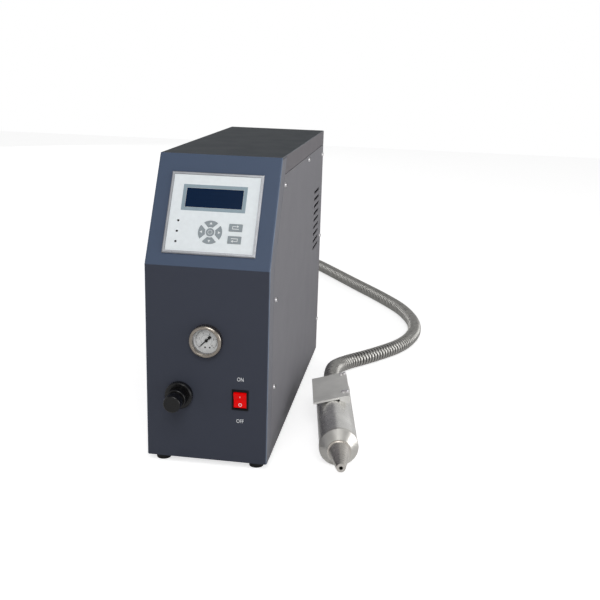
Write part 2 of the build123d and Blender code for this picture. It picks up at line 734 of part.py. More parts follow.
with BuildPart(gauge_plane) as gauge_bezel:
    disc(GAUGE_BEZEL_R, 0, GAUGE_BEZEL_T)
    disc(GAUGE_LENS_R + 0.1, 0, GAUGE_RIM + GAUGE_LENS_T, mode=Mode.SUBTRACT)
    disc(GAUGE_LIP_R, 0, GAUGE_BEZEL_T, mode=Mode.SUBTRACT)
    fillet(gauge_bezel.edges().group_by(Axis.Y)[0].sort_by(SortBy.LENGTH)[-1], GAUGE_RIM_R)
    fillet(gauge_bezel.edges().group_by(Axis.Y)[0].sort_by(SortBy.LENGTH)[0], GAUGE_LIP_BEND_R)
gauge_bezel.part.label = "gauge_bezel"
export_step(gauge_bezel.part, "parts/gauge_bezel.step")

with BuildPart(gauge_plane) as gauge_dial:
    disc(GAUGE_DIAL_R, -1, 0)
    disc(NEEDLE_SHAFT_R + 0.6, -1, 0, mode=Mode.SUBTRACT)
gauge_dial.part.label = "gauge_dial"
export_step(gauge_dial.part, "parts/gauge_dial.step")

with BuildPart(gauge_plane) as gauge_needle:
    disc(NEEDLE_SHAFT_R, -GAUGE_CASE_D + 5, 1)
    disc(NEEDLE_HUB_R, 0.5, 1.9)
    with BuildSketch(gauge_plane.offset(0.9)):
        with BuildLine():
            turn = math.radians(NEEDLE_ZERO)
            along = (math.cos(turn), math.sin(turn))
            across = (-along[1], along[0])
            neck = NEEDLE_WEIGHT_L - NEEDLE_TAIL
            outline = [(NEEDLE_L, 0.3), (0, 0.9), (neck, 0.9), (neck, 1.9), (-NEEDLE_TAIL, 1.9)]
            outline += [(a, -c) for a, c in reversed(outline)]
            Polyline(*[(a * along[0] + c * across[0], a * along[1] + c * across[1]) for a, c in outline], close=True)
        make_face()
    extrude(amount=NEEDLE_T)
gauge_needle.part.label = "gauge_needle"
export_step(gauge_needle.part, "parts/gauge_needle.step")

with BuildPart(gauge_plane) as gauge_lens:
    disc(GAUGE_LENS_R, GAUGE_RIM, GAUGE_RIM + GAUGE_LENS_T)
gauge_lens.part.label = "gauge_lens"
export_step(gauge_lens.part, "parts/gauge_lens.step")

# Pressure regulator, on the axis of its own hole
reg_plane = Plane(origin=front_plane.from_local_coords((REG_X, REG_Z, 0)), x_dir=(1, 0, 0), z_dir=(0, -1, 0))
block_back = REG_BONNET_D + REG_BLOCK_D
with BuildPart(reg_plane) as regulator_body:
    block(REG_BLOCK, REG_BLOCK, -block_back, -REG_BONNET_D)
    fillet(regulator_body.edges().filter_by(Axis.Y), 3)
    disc(PORT_R, -block_back - PORT_L, -block_back)
    disc(PORT_BORE_R, -block_back - PORT_L, -block_back + 4, mode=Mode.SUBTRACT)
    with Locations((REG_BLOCK / 2, 0, -REG_BONNET_D - REG_BLOCK_D / 2)):
        Cylinder(PORT_R, PORT_L, rotation=(0, 90, 0), align=BASE)
        Cylinder(PORT_BORE_R, PORT_L, rotation=(0, 90, 0), align=BASE, mode=Mode.SUBTRACT)
    with Locations((0, REG_BLOCK / 2, -REG_BONNET_D - REG_BLOCK_D / 2)):
        Cylinder(PORT_R - 1, PORT_L, rotation=(-90, 0, 0), align=BASE)
regulator_body.part.label = "regulator_body"
export_step(regulator_body.part, "parts/regulator_body.step")

with BuildPart(reg_plane) as regulator_bonnet:
    disc(REG_BONNET_R, -REG_BONNET_D, REG_NUT_T)
    disc(REG_BONNET_R + 3, -REG_BONNET_D, -SHEET - 2)
    disc(SPINDLE_R + SPINDLE_PLAY, -REG_BONNET_D + 4, REG_NUT_T, mode=Mode.SUBTRACT)
regulator_bonnet.part.label = "regulator_bonnet"
export_step(regulator_bonnet.part, "parts/regulator_bonnet.step")

with BuildPart(reg_plane) as regulator_panel_nut:
    disc(REG_NUT_R, 0, REG_NUT_T)
    disc(REG_BONNET_R + 0.1, 0, REG_NUT_T, mode=Mode.SUBTRACT)
    chamfer(regulator_panel_nut.edges().group_by(Axis.Y)[0].sort_by(SortBy.LENGTH)[-1], 1.2)
regulator_panel_nut.part.label = "regulator_panel_nut"
export_step(regulator_panel_nut.part, "parts/regulator_panel_nut.step")

with BuildPart(reg_plane) as regulator_spindle:
    disc(SPINDLE_R, -REG_BONNET_D + 6, SPINDLE_TIP)
regulator_spindle.part.label = "regulator_spindle"
export_step(regulator_spindle.part, "parts/regulator_spindle.step")

knob_rear = REG_NUT_T + KNOB_GAP
knob_front = knob_rear + KNOB_L
knob_step = knob_rear + KNOB_SKIRT
with BuildPart(reg_plane) as regulator_knob:
    disc(KNOB_REAR_R, knob_rear, knob_step)
    fillet(regulator_knob.edges().group_by(Axis.Y)[0], 1.4)
    disc(KNOB_FRONT_R, knob_step, knob_front)
    fillet(regulator_knob.edges().group_by(Axis.Y)[0], 1.8)
    with BuildSketch(reg_plane.offset(knob_rear)):
        with PolarLocations(KNOB_REAR_R + 0.4, KNOB_RIBS):
            Circle(0.9)
    extrude(amount=KNOB_SKIRT - 2, mode=Mode.SUBTRACT)
    disc(SPINDLE_R + SPINDLE_PLAY, knob_rear, knob_front - 3, mode=Mode.SUBTRACT)
regulator_knob.part.label = "regulator_knob"
export_step(regulator_knob.part, "parts/regulator_knob.step")

# Power switch: a housing that clips into the front panel, and its rocker
switch_plane = Plane(origin=front_plane.from_local_coords((SWITCH_X, SWITCH_Z, 0)), x_dir=(1, 0, 0), z_dir=(0, -1, 0))
pocket_h = 2 * (ROCKER_R + SWITCH_PLAY)
pocket_d = ROCKER_PIVOT + ROCKER_R + SWITCH_PLAY
rocker_w = SWITCH_POCKET_W - 2 * SWITCH_PLAY
with BuildPart(switch_plane) as switch_housing:
    block(SWITCH_BODY_W, SWITCH_BODY_H, -SWITCH_BODY_D, 0)
    block(SWITCH_BEZEL_W, SWITCH_BEZEL_H, 0, SWITCH_BEZEL_T)
    chamfer(switch_housing.edges().group_by(Axis.Y)[0], 0.8)
    block(SWITCH_POCKET_W, pocket_h, -pocket_d, SWITCH_BEZEL_T, mode=Mode.SUBTRACT)
    with Locations((0, 0, -ROCKER_PIVOT)):
        Cylinder(PIVOT_R + PIVOT_PLAY, rocker_w + 2 * PIVOT_L + 0.6, rotation=(0, 90, 0), mode=Mode.SUBTRACT)
    with Locations(*[(0, y, -SWITCH_BODY_D) for y in (-8, 0, 8)]):
        Box(4.8, 0.8, 8, align=HANG)
switch_housing.part.label = "switch_housing"
export_step(switch_housing.part, "parts/switch_housing.step")

rocker_centre = switch_plane.from_local_coords((0, 0, -ROCKER_PIVOT))
rocker_turn = math.radians(ROCKER_TILT)
rocker_up = (0, -math.sin(rocker_turn), math.cos(rocker_turn))
rocker_section = Plane(origin=rocker_centre, x_dir=rocker_up, z_dir=(1, 0, 0))
with BuildPart() as switch_rocker:
    with BuildSketch(rocker_section):
        Circle(ROCKER_R)
        waist = ROCKER_PIVOT + ROCKER_WAIST
        rise = ROCKER_R * math.tan(rocker_turn)
        with BuildLine():
            face_line = [(-ROCKER_R, waist + rise), (0, waist), (ROCKER_R, waist + rise)]
            Polyline(*face_line, (ROCKER_R, -ROCKER_PIVOT), (-ROCKER_R, -ROCKER_PIVOT), close=True)
        make_face(mode=Mode.INTERSECT)
    extrude(amount=rocker_w / 2, both=True)
    with BuildSketch(rocker_section):
        Circle(PIVOT_R)
    extrude(amount=rocker_w / 2 + PIVOT_L, both=True)
switch_rocker.part.label = "switch_rocker"
export_step(switch_rocker.part, "parts/switch_rocker.step")

# Transformer on the base pan: a laminated core with its winding round the middle limb
core_plane = Plane(origin=(CORE_X, CORE_Y, deck_z), x_dir=(1, 0, 0), z_dir=(0, 0, 1))
window_w = (CORE_W - 4 * CORE_LIMB) / 2
window_h = CORE_H - 2 * CORE_LIMB
window_x = CORE_LIMB + window_w / 2
with BuildPart(core_plane) as transformer_core:
    block(CORE_W, CORE_D, 0, CORE_H)
    for sign in (-1, 1):
        block(window_w, CORE_D, CORE_LIMB, CORE_LIMB + window_h, at=(sign * window_x, 0), mode=Mode.SUBTRACT)
transformer_core.part.label = "transformer_core"
export_step(transformer_core.part, "parts/transformer_core.step")

with BuildPart(core_plane) as transformer_winding:
    wrap_w = 2 * CORE_LIMB + 2 * window_w - 0.6
    block(wrap_w, CORE_D + 2 * WINDING_OVER, CORE_LIMB + 0.3, CORE_LIMB + window_h - 0.3)
    fillet(transformer_winding.edges().filter_by(Axis.Z), 6)
    block(2 * CORE_LIMB + 0.2, CORE_D + 0.2, 0, CORE_H, mode=Mode.SUBTRACT)
transformer_winding.part.label = "transformer_winding"
export_step(transformer_winding.part, "parts/transformer_winding.step")

# Power board on its posts, with its parts
board_plane = Plane(origin=(POWER_BOARD_X, POWER_BOARD_Y, deck_z + STANDOFF_H), x_dir=(1, 0, 0), z_dir=(0, 0, 1))
with BuildPart(board_plane) as power_board:
    block(POWER_BOARD_W, POWER_BOARD_L, 0, BOARD_T)
power_board.part.label = "power_board"
export_step(power_board.part, "parts/power_board.step")

with BuildPart(board_plane.offset(BOARD_T)) as power_components:
    block(SINK_W, SINK_L, 0, SINK_BASE, at=SINK_AT)
    for fin in range(FIN_COUNT):
        fin_x = SINK_AT[0] + (fin - (FIN_COUNT - 1) / 2) * FIN_PITCH
        block(FIN_T, SINK_L, SINK_BASE, SINK_H, at=(fin_x, SINK_AT[1]))
    for can_y in CAN_YS:
        disc(CAN_R, 0, CAN_H, at=(CAN_X, can_y))
    block(CHOKE_W, CHOKE_L, 0, CHOKE_H, at=CHOKE_AT)
    block(RELAY_W, RELAY_L, 0, RELAY_H, at=RELAY_AT)
power_components.part.label = "power_components"
export_step(power_components.part, "parts/power_components.step")

# Solenoid valve: body on the base pan, coil on top, plunger in its guide
valve_plane = Plane(origin=(VALVE_X, VALVE_Y, deck_z), x_dir=(1, 0, 0), z_dir=(0, 0, 1))
guide_low = VALVE_H - 10
with BuildPart(valve_plane) as solenoid_body:
    block(VALVE_W, VALVE_D, 0, VALVE_H)
    for sign in (-1, 1):
        with Locations((0, sign * VALVE_D / 2, VALVE_H / 2)):
            Cylinder(PORT_R, PORT_L, rotation=(-90 * sign, 0, 0), align=BASE)
            Cylinder(PORT_BORE_R, PORT_L, rotation=(-90 * sign, 0, 0), align=BASE, mode=Mode.SUBTRACT)
    disc(PLUNGER_R + 2, VALVE_H, VALVE_H + COIL_H)
    disc(PLUNGER_R + PLUNGER_PLAY, guide_low, VALVE_H + COIL_H - 3, mode=Mode.SUBTRACT)
solenoid_body.part.label = "solenoid_body"
export_step(solenoid_body.part, "parts/solenoid_body.step")

with BuildPart(valve_plane) as solenoid_coil:
    disc(COIL_R, VALVE_H, VALVE_H + COIL_H)
    disc(PLUNGER_R + 2.1, VALVE_H, VALVE_H + COIL_H, mode=Mode.SUBTRACT)
solenoid_coil.part.label = "solenoid_coil"
export_step(solenoid_coil.part, "parts/solenoid_coil.step")

with BuildPart(valve_plane) as solenoid_plunger:
    disc(PLUNGER_R, guide_low + 0.3, VALVE_H + COIL_H - 3 - PLUNGER_STROKE - 0.5)
solenoid_plunger.part.label = "solenoid_plunger"
export_step(solenoid_plunger.part, "parts/solenoid_plunger.step")


def swept_tube(points, bends, radius):
    """A solid tube along straight runs joined by arcs."""
    with BuildPart() as tube:
        with BuildLine() as route:
            FilletPolyline(*points, radius=bends)
        start = route.line @ 0
        with BuildSketch(Plane(origin=start, z_dir=route.line % 0)):
            Circle(radius)
        sweep()
    return tube.part


# Air tubes inside the cabinet
reg_y = front_y + REG_BONNET_D + REG_BLOCK_D / 2
reg_z = FOOT_H + REG_Z
port_x = REG_X + REG_BLOCK / 2 + PORT_L
inlet_z = FOOT_H + INLET_Z
inlet_end = rear_y - INLET_BORE_L
supply_points = [(INLET_X, inlet_end, inlet_z), (INLET_X, reg_y, inlet_z), (INLET_X, reg_y, reg_z), (port_x, reg_y, reg_z)]
air_tube_supply = swept_tube(supply_points, TUBE_BEND_R, TUBE_R)
air_tube_supply.label = "air_tube_supply"
export_step(air_tube_supply, "parts/air_tube_supply.step")

valve_z = deck_z + VALVE_H / 2
valve_in = VALVE_Y - VALVE_D / 2 - PORT_L
outlet_y = front_y + block_back + PORT_L
outlet_points = [
    (REG_X, outlet_y, reg_z),
    (REG_X, outlet_y + 40, reg_z),
    (VALVE_X, valve_in - 60, valve_z),
    (VALVE_X, valve_in, valve_z),
]
air_tube_outlet = swept_tube(outlet_points, TUBE_BEND_R, TUBE_R)
air_tube_outlet.label = "air_tube_outlet"
export_step(air_tube_outlet, "parts/air_tube_outlet.step")

stem_z = FOOT_H + GAUGE_Z
stem_y = front_y + GAUGE_CASE_D + GAUGE_STEM_L
branch_z = reg_z + REG_BLOCK / 2 + PORT_L
gauge_points = [
    (REG_X, reg_y, branch_z),
    (REG_X, reg_y, stem_z),
    (REG_X + 14, stem_y + 34, stem_z),
    (GAUGE_X, stem_y + 34, stem_z),
    (GAUGE_X, stem_y, stem_z),
]
air_tube_gauge = swept_tube(gauge_points, GAUGE_TUBE_BEND_R, GAUGE_TUBE_R)
air_tube_gauge.label = "air_tube_gauge"
export_step(air_tube_gauge, "parts/air_tube_gauge.step")

# Cooling fan behind the rear panel
fan_plane = Plane(origin=rear_plane.from_local_coords((0, fan_z, -SHEET)), x_dir=(-1, 0, 0), z_dir=(0, 1, 0))
with BuildPart(fan_plane) as fan_frame:
    block(FAN_SIZE, FAN_SIZE, -FAN_T, 0)
    fillet(fan_frame.edges().filter_by(Axis.Y), 5)
    disc(FAN_DUCT_R, -FAN_T, 0, mode=Mode.SUBTRACT)
    disc(FAN_HUB_R + 1, -FAN_T, -FAN_T + 4)
    with Locations((0, 0, -FAN_T)):
        with PolarLocations(FAN_DUCT_R / 2 + FAN_HUB_R / 2 + 1, 4, start_angle=45):
            Box(FAN_DUCT_R - FAN_HUB_R + 2, 4, 3, align=BASE)
    disc(FAN_SHAFT_R + FAN_PLAY, -FAN_T, -FAN_T + 4, mode=Mode.SUBTRACT)
    with Locations((0, 0, -FAN_T)):
        with GridLocations(FAN_HOLES, FAN_HOLES, 2, 2):
            Cylinder(SCREW_R + SCREW_PLAY, FAN_T, align=BASE, mode=Mode.SUBTRACT)
fan_frame.part.label = "fan_frame"
export_step(fan_frame.part, "parts/fan_frame.step")

with BuildPart(fan_plane) as fan_rotor:
    disc(FAN_HUB_R, -FAN_T + 5, -2)
    disc(FAN_SHAFT_R, -FAN_T + 0.5, -FAN_T + 5)
    blade_span = FAN_BLADE_R - FAN_HUB_R
    with Locations((0, 0, -FAN_T / 2 + 1.5)):
        with PolarLocations(FAN_HUB_R + blade_span / 2 - 0.8, FAN_BLADES):
            Box(blade_span, 1.6, 18, rotation=(38, 0, 0))
fan_rotor.part.label = "fan_rotor"
export_step(fan_rotor.part, "parts/fan_rotor.step")

guard_leg_r = FAN_HOLES / math.sqrt(2) - SCREW_HEAD_R - 3
with BuildPart(rear_plane) as fan_guard:
    with Locations((0, fan_z, GUARD_H)):
        for ring_r in GUARD_RINGS:
            Torus(ring_r, GUARD_WIRE_R)
        with PolarLocations((GUARD_BAR_IN + guard_leg_r) / 2, 4, start_angle=45):
            Box(guard_leg_r - GUARD_BAR_IN, 2 * GUARD_WIRE_R, 2 * GUARD_WIRE_R)
    with Locations((0, fan_z, 0)):
        with PolarLocations(guard_leg_r, 4, start_angle=45):
            Box(2 * GUARD_WIRE_R, 2 * GUARD_WIRE_R, GUARD_H + GUARD_WIRE_R, align=BASE)
fan_guard.part.label = "fan_guard"
export_step(fan_guard.part, "parts/fan_guard.step")

# Power inlet: a three-pin socket on a flange
socket_plane = Plane(origin=rear_plane.from_local_coords((-SOCKET_X, SOCKET_Z, 0)), x_dir=(-1, 0, 0), z_dir=(0, 1, 0))
with BuildPart(socket_plane) as power_inlet:
    block(SOCKET_FLANGE_W, SOCKET_FLANGE_H, 0, SOCKET_FLANGE_T)
    fillet(power_inlet.edges().filter_by(Axis.Y), 5)
    block(SOCKET_W, SOCKET_H, -SOCKET_D, 0)
    block(SOCKET_WELL_W, SOCKET_WELL_H, -SOCKET_WELL_D, SOCKET_FLANGE_T, mode=Mode.SUBTRACT)
    for x, z in ((-7, -2), (0, 2.5), (7, -2)):
        block(2, 4, -SOCKET_WELL_D, -PIN_TIP, at=(x, z))
    for sign in (-1, 1):
        disc(SCREW_R + SCREW_PLAY, 0, SOCKET_FLANGE_T, at=(sign * ear, 0), mode=Mode.SUBTRACT)
power_inlet.part.label = "power_inlet"
export_step(power_inlet.part, "parts/power_inlet.step")

# Air inlet: a bulkhead fitting whose mouth takes the supply tube, and its nut
inlet_plane = Plane(origin=rear_plane.from_local_coords((-INLET_X, INLET_Z, 0)), x_dir=(-1, 0, 0), z_dir=(0, 1, 0))
with BuildPart(inlet_plane) as air_inlet_fitting:
    with BuildSketch(inlet_plane):
        RegularPolygon(9, 6)
    extrude(amount=5)
    disc(7.5, 5, INLET_BORE_L)
    disc(PORT_R, -INLET_BORE_L, 0)
    disc(INLET_BORE_R, 0, INLET_BORE_L, mode=Mode.SUBTRACT)
    disc(PORT_BORE_R, -INLET_BORE_L, 0, mode=Mode.SUBTRACT)
    with BuildSketch(inlet_plane.offset(-SHEET)):
        RegularPolygon(9, 6)
        Circle(PORT_R + 0.1, mode=Mode.SUBTRACT)
    extrude(amount=-4)
air_inlet_fitting.part.label = "air_inlet_fitting"
export_step(air_inlet_fitting.part, "parts/air_inlet_fitting.step")

# Hose gland and its nut
gland_plane = Plane(origin=rear_plane.from_local_coords((-GLAND_X, GLAND_Z, 0)), x_dir=(-1, 0, 0), z_dir=(0, 1, 0))
with BuildPart(gland_plane) as hose_gland:
    with BuildSketch(gland_plane):
        RegularPolygon(GLAND_HEX_R, 6)
    extrude(amount=9)
    disc(GLAND_R, 9, GLAND_L)
    chamfer(hose_gland.edges().group_by(Axis.Y)[-1], 1.5)
    disc(GLAND_THREAD_R, -14, 0)
    disc(GLAND_BORE_R, -14, GLAND_L, mode=Mode.SUBTRACT)
    with BuildSketch(gland_plane.offset(-SHEET)):
        RegularPolygon(GLAND_HEX_R, 6)
        Circle(GLAND_THREAD_R + 0.1, mode=Mode.SUBTRACT)
    extrude(amount=-6)
hose_gland.part.label = "hose_gland"
export_step(hose_gland.part, "parts/hose_gland.step")

# Torch: round pieces on one axis, as profiles of (radius, distance behind the tip)
turn = math.radians(TORCH_TURN)
nose = Vector(math.sin(turn), -math.cos(turn), 0)
across = Vector(math.cos(turn), math.sin(turn), 0)
torch_tip = Vector(TORCH_TIP_X, TORCH_TIP_Y, CAP_R)
torch_axis = Axis(torch_tip, nose)
torch_section = Plane(origin=torch_tip, x_dir=(0, 0, 1), z_dir=across)


def turned(outline):
    """A round piece of the torch from its half section."""
    with BuildPart() as piece:
        with BuildSketch(torch_section):
            with BuildLine():
                Polyline(*[(radius, -back) for radius, back in outline], close=True)
            make_face()
        revolve(axis=torch_axis)
    return piece.part


torch_barrel = turned([
    (BARREL_BORE_R, BARREL_FRONT),
    (BARREL_R, BARREL_FRONT),
    (BARREL_R, BARREL_REAR),
    (BARREL_BORE_R, BARREL_REAR),
])
torch_barrel.label = "torch_barrel"
export_step(torch_barrel, "parts/torch_barrel.step")

cap_seat_r = SPIGOT_R + SPIGOT_PLAY
cap_spigot_r = BARREL_BORE_R - SPIGOT_PLAY
nozzle_seat = NOZZLE_L + 2
torch_front_cap = turned([
    (cap_seat_r, nozzle_seat),
    (NOZZLE_FLANGE_R, nozzle_seat),
    (CAP_R, BARREL_FRONT - CAP_RING),
    (CAP_R, BARREL_FRONT),
    (cap_spigot_r, BARREL_FRONT),
    (cap_spigot_r, BARREL_FRONT + 10),
    (cap_seat_r, BARREL_FRONT + 10),
])
torch_front_cap.label = "torch_front_cap"
export_step(torch_front_cap, "parts/torch_front_cap.step")

nozzle_rear = nozzle_seat + SPIGOT_L
torch_nozzle = turned([
    (NOZZLE_BORE_R, 0),
    (NOZZLE_TIP_R, 0),
    (NOZZLE_BASE_R, NOZZLE_L),
    (NOZZLE_FLANGE_R, NOZZLE_L),
    (NOZZLE_FLANGE_R, nozzle_seat),
    (SPIGOT_R, nozzle_seat),
    (SPIGOT_R, nozzle_rear),
    (NOZZLE_PLENUM_R, nozzle_rear),
    (NOZZLE_PLENUM_R, NOZZLE_BORE_L + 6),
    (NOZZLE_BORE_R, NOZZLE_BORE_L),
])
torch_nozzle.label = "torch_nozzle"
export_step(torch_nozzle, "parts/torch_nozzle.step")

electrode_cone = ELECTRODE_TIP + ELECTRODE_CONE
electrode_rear = BARREL_REAR - ELECTRODE_END_IN
torch_electrode = turned([
    (0, ELECTRODE_TIP),
    (1.2, ELECTRODE_TIP),
    (ELECTRODE_R, electrode_cone),
    (ELECTRODE_R, electrode_rear),
    (0, electrode_rear),
])
torch_electrode.label = "torch_electrode"
export_step(torch_electrode, "parts/torch_electrode.step")

insulator_front = BARREL_FRONT + INSULATOR_FRONT
insulator_rear = electrode_rear - INSULATOR_END_IN
torch_insulator = turned([
    (ELECTRODE_R + SPIGOT_PLAY, insulator_front),
    (cap_spigot_r, insulator_front),
    (cap_spigot_r, insulator_front + INSULATOR_RIM),
    (INSULATOR_R, insulator_front + INSULATOR_RIM),
    (INSULATOR_R, insulator_rear - INSULATOR_RIM),
    (cap_spigot_r, insulator_rear - INSULATOR_RIM),
    (cap_spigot_r, insulator_rear),
    (ELECTRODE_R + SPIGOT_PLAY, insulator_rear),
])
torch_insulator.label = "torch_insulator"
export_step(torch_insulator, "parts/torch_insulator.step")

torch_rear_cap = turned([
    (GLAND_BORE_R, BARREL_REAR - PLUG_IN),
    (cap_spigot_r, BARREL_REAR - PLUG_IN),
    (cap_spigot_r, BARREL_REAR),
    (BARREL_R, BARREL_REAR),
    (BARREL_R, PLATE_REAR),
    (CAP_R, PLATE_REAR + SEAM),
    (CAP_R, PLATE_REAR + CAP_RING),
    (NECK_R, PLATE_REAR + CAP_RING + 3),
    (FERRULE_R, FERRULE_END),
    (GLAND_BORE_R, FERRULE_END),
])
torch_rear_cap.label = "torch_rear_cap"
export_step(torch_rear_cap, "parts/torch_rear_cap.step")

# Mounting plate of the torch: rolled about the barrel, with a bar under its right side cut to the barrel's round
roll = math.radians(PLATE_ROLL)
plate_up = Vector(-math.sin(roll) * across.X, -math.sin(roll) * across.Y, math.cos(roll))
plate_x = Vector(math.cos(roll) * across.X, math.cos(roll) * across.Y, math.sin(roll))
plate_mid = torch_tip - nose * (PLATE_REAR - PLATE_L / 2)
plate_plane = Plane(origin=plate_mid + plate_up * (BARREL_R + SEAM / 4), x_dir=plate_x, z_dir=plate_up)
plate_rows = (PLATE_SCREW_FRONT - PLATE_L / 2, PLATE_L / 2 - PLATE_SCREW_REAR)
plate_spots = [(x, y) for x in PLATE_SCREW_X for y in plate_rows]
barrel_bar = Solid.make_cylinder(BARREL_R + SEAM / 4, PLATE_REAR + SEAM, Plane(origin=torch_tip, z_dir=-nose))
saddle_w = PLATE_W / 2 - SADDLE_IN
with BuildPart() as torch_plate:
    with BuildSketch(plate_plane):
        with Locations((SADDLE_IN + saddle_w / 2, 0)):
            Rectangle(saddle_w, PLATE_L)
    extrude(amount=-SADDLE_DROP)
    add(barrel_bar, mode=Mode.SUBTRACT)
    with BuildSketch(plate_plane):
        Rectangle(PLATE_W, PLATE_L)
    extrude(amount=PLATE_T)
    with BuildSketch(plate_plane.offset(PLATE_T)):
        with Locations(*plate_spots):
            Circle(PLATE_SCREW_R + SCREW_PLAY)
    extrude(amount=-PLATE_T - SADDLE_DROP, mode=Mode.SUBTRACT)
torch_plate.part.label = "torch_plate"
export_step(torch_plate.part, "parts/torch_plate.step")

with BuildPart() as torch_plate_screws:
    with BuildSketch(plate_plane.offset(PLATE_T)):
        with Locations(*plate_spots):
            Circle(PLATE_HEAD_R)
            RegularPolygon(1.4, 6, mode=Mode.SUBTRACT)
    extrude(amount=PLATE_HEAD_H)
    with BuildSketch(plate_plane.offset(PLATE_T)):
        with Locations(*plate_spots):
            Circle(PLATE_SCREW_R)
    extrude(amount=-PLATE_T - SADDLE_DROP + 2)
    with BuildSketch(plate_plane.offset(PLATE_T)):
        with Locations(*plate_spots):
            Circle(PLATE_HEAD_R)
    extrude(amount=0.8)
torch_plate_screws.part.label = "torch_plate_screws"
export_step(torch_plate_screws.part, "parts/torch_plate_screws.step")

# Hose: out of the gland, down to the floor, round behind the cabinet and forward to the torch
gland_y = rear_y + GLAND_L
gland_z = FOOT_H + GLAND_Z
hose_end = torch_tip - nose * FERRULE_END
hose_aim = torch_tip - nose * (FERRULE_END + 66)
hose_points = [
    (GLAND_X, gland_y, gland_z),
    (GLAND_X, gland_y + 65, gland_z),
    (-48, 432, 75),
    (-98, 514, 42),
    (-162, 598, 18),
    (-232, 676, HOSE_R),
    (-291, 765, HOSE_R),
    (-284, 872, HOSE_R),
    (-218, 954, HOSE_R),
    (-117, 982, HOSE_R),
    (-19, 948, HOSE_R),
    (48, 848, HOSE_R),
    (112, 749, HOSE_R),
    (190, 634, HOSE_R),
    (246, 535, HOSE_R),
    (275, 418, HOSE_R),
    (254, 308, HOSE_R),
    (198, 229, HOSE_R),
    (139, 161, HOSE_R + 1),
    (hose_aim.X, hose_aim.Y, hose_aim.Z),
    (hose_end.X, hose_end.Y, hose_end.Z),
]
hose_bends = []
for before, here, after in zip(hose_points, hose_points[1:], hose_points[2:]):
    run_in = Vector(*here) - Vector(*before)
    run_out = Vector(*after) - Vector(*here)
    half_turn = math.radians(run_in.get_angle(run_out) / 2)
    hose_bends.append(0.45 * min(run_in.length, run_out.length) / math.tan(half_turn))
print("hose bend radii", [round(bend) for bend in hose_bends])
with BuildPart() as hose:
    with BuildLine() as hose_route:
        FilletPolyline(*hose_points, radius=hose_bends)
    with BuildSketch(Plane(origin=hose_route.line @ 0, z_dir=hose_route.line % 0)):
        Circle(HOSE_R)
    sweep()
hose_length = sum(edge.length for edge in hose_route.edges())
print("hose length", round(hose_length, 1), "volume", round(hose.part.volume))
print("section times length", round(math.pi * HOSE_R**2 * hose_length))
hose.part.label = "hose"
export_step(hose.part, "parts/hose.step")
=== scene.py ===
"""The dressed model of a benchtop plasma cleaner: finishes, printed marks and the ribbed hose."""

import bisect
import json
import logging
import math
from dataclasses import dataclass, field
from enum import Enum

import bmesh
import bpy
from mathutils import Matrix, Vector

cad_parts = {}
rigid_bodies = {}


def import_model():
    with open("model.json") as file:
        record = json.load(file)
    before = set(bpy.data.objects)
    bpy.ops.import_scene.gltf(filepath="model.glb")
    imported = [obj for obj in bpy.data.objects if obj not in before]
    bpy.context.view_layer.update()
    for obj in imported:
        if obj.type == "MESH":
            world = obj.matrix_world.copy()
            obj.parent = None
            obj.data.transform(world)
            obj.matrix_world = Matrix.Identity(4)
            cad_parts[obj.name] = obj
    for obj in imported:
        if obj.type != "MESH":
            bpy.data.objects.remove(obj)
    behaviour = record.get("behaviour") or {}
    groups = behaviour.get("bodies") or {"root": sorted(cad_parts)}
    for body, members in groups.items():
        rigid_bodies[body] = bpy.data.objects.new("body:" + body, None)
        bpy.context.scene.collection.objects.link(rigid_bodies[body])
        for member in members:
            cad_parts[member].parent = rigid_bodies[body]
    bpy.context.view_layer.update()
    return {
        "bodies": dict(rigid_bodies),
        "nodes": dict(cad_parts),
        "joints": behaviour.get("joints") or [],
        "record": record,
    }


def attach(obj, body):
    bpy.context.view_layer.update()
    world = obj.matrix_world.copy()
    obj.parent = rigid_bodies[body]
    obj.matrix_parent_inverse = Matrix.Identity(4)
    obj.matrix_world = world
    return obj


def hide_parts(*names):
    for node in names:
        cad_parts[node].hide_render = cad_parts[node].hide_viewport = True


log = logging.getLogger("plasma_cleaner")

MM = 0.001
Colour = tuple[float, float, float]


def srgb(red: int, green: int, blue: int) -> Colour:
    """A colour of a picture, 0 to 255, as the linear colour that a shader takes."""
    parts = []
    for value in (red, green, blue):
        share = value / 255
        parts.append(share / 12.92 if share <= 0.04045 else ((share + 0.055) / 1.055) ** 2.4)
    return tuple(parts)


class Lay(Enum):
    """The way that a metal's brush marks run, in the row frame."""

    ALONG_Y = (700.0, 4.0, 700.0)
    ROUND = (60.0, 900.0, 60.0)
    CAST = (500.0, 500.0, 500.0)


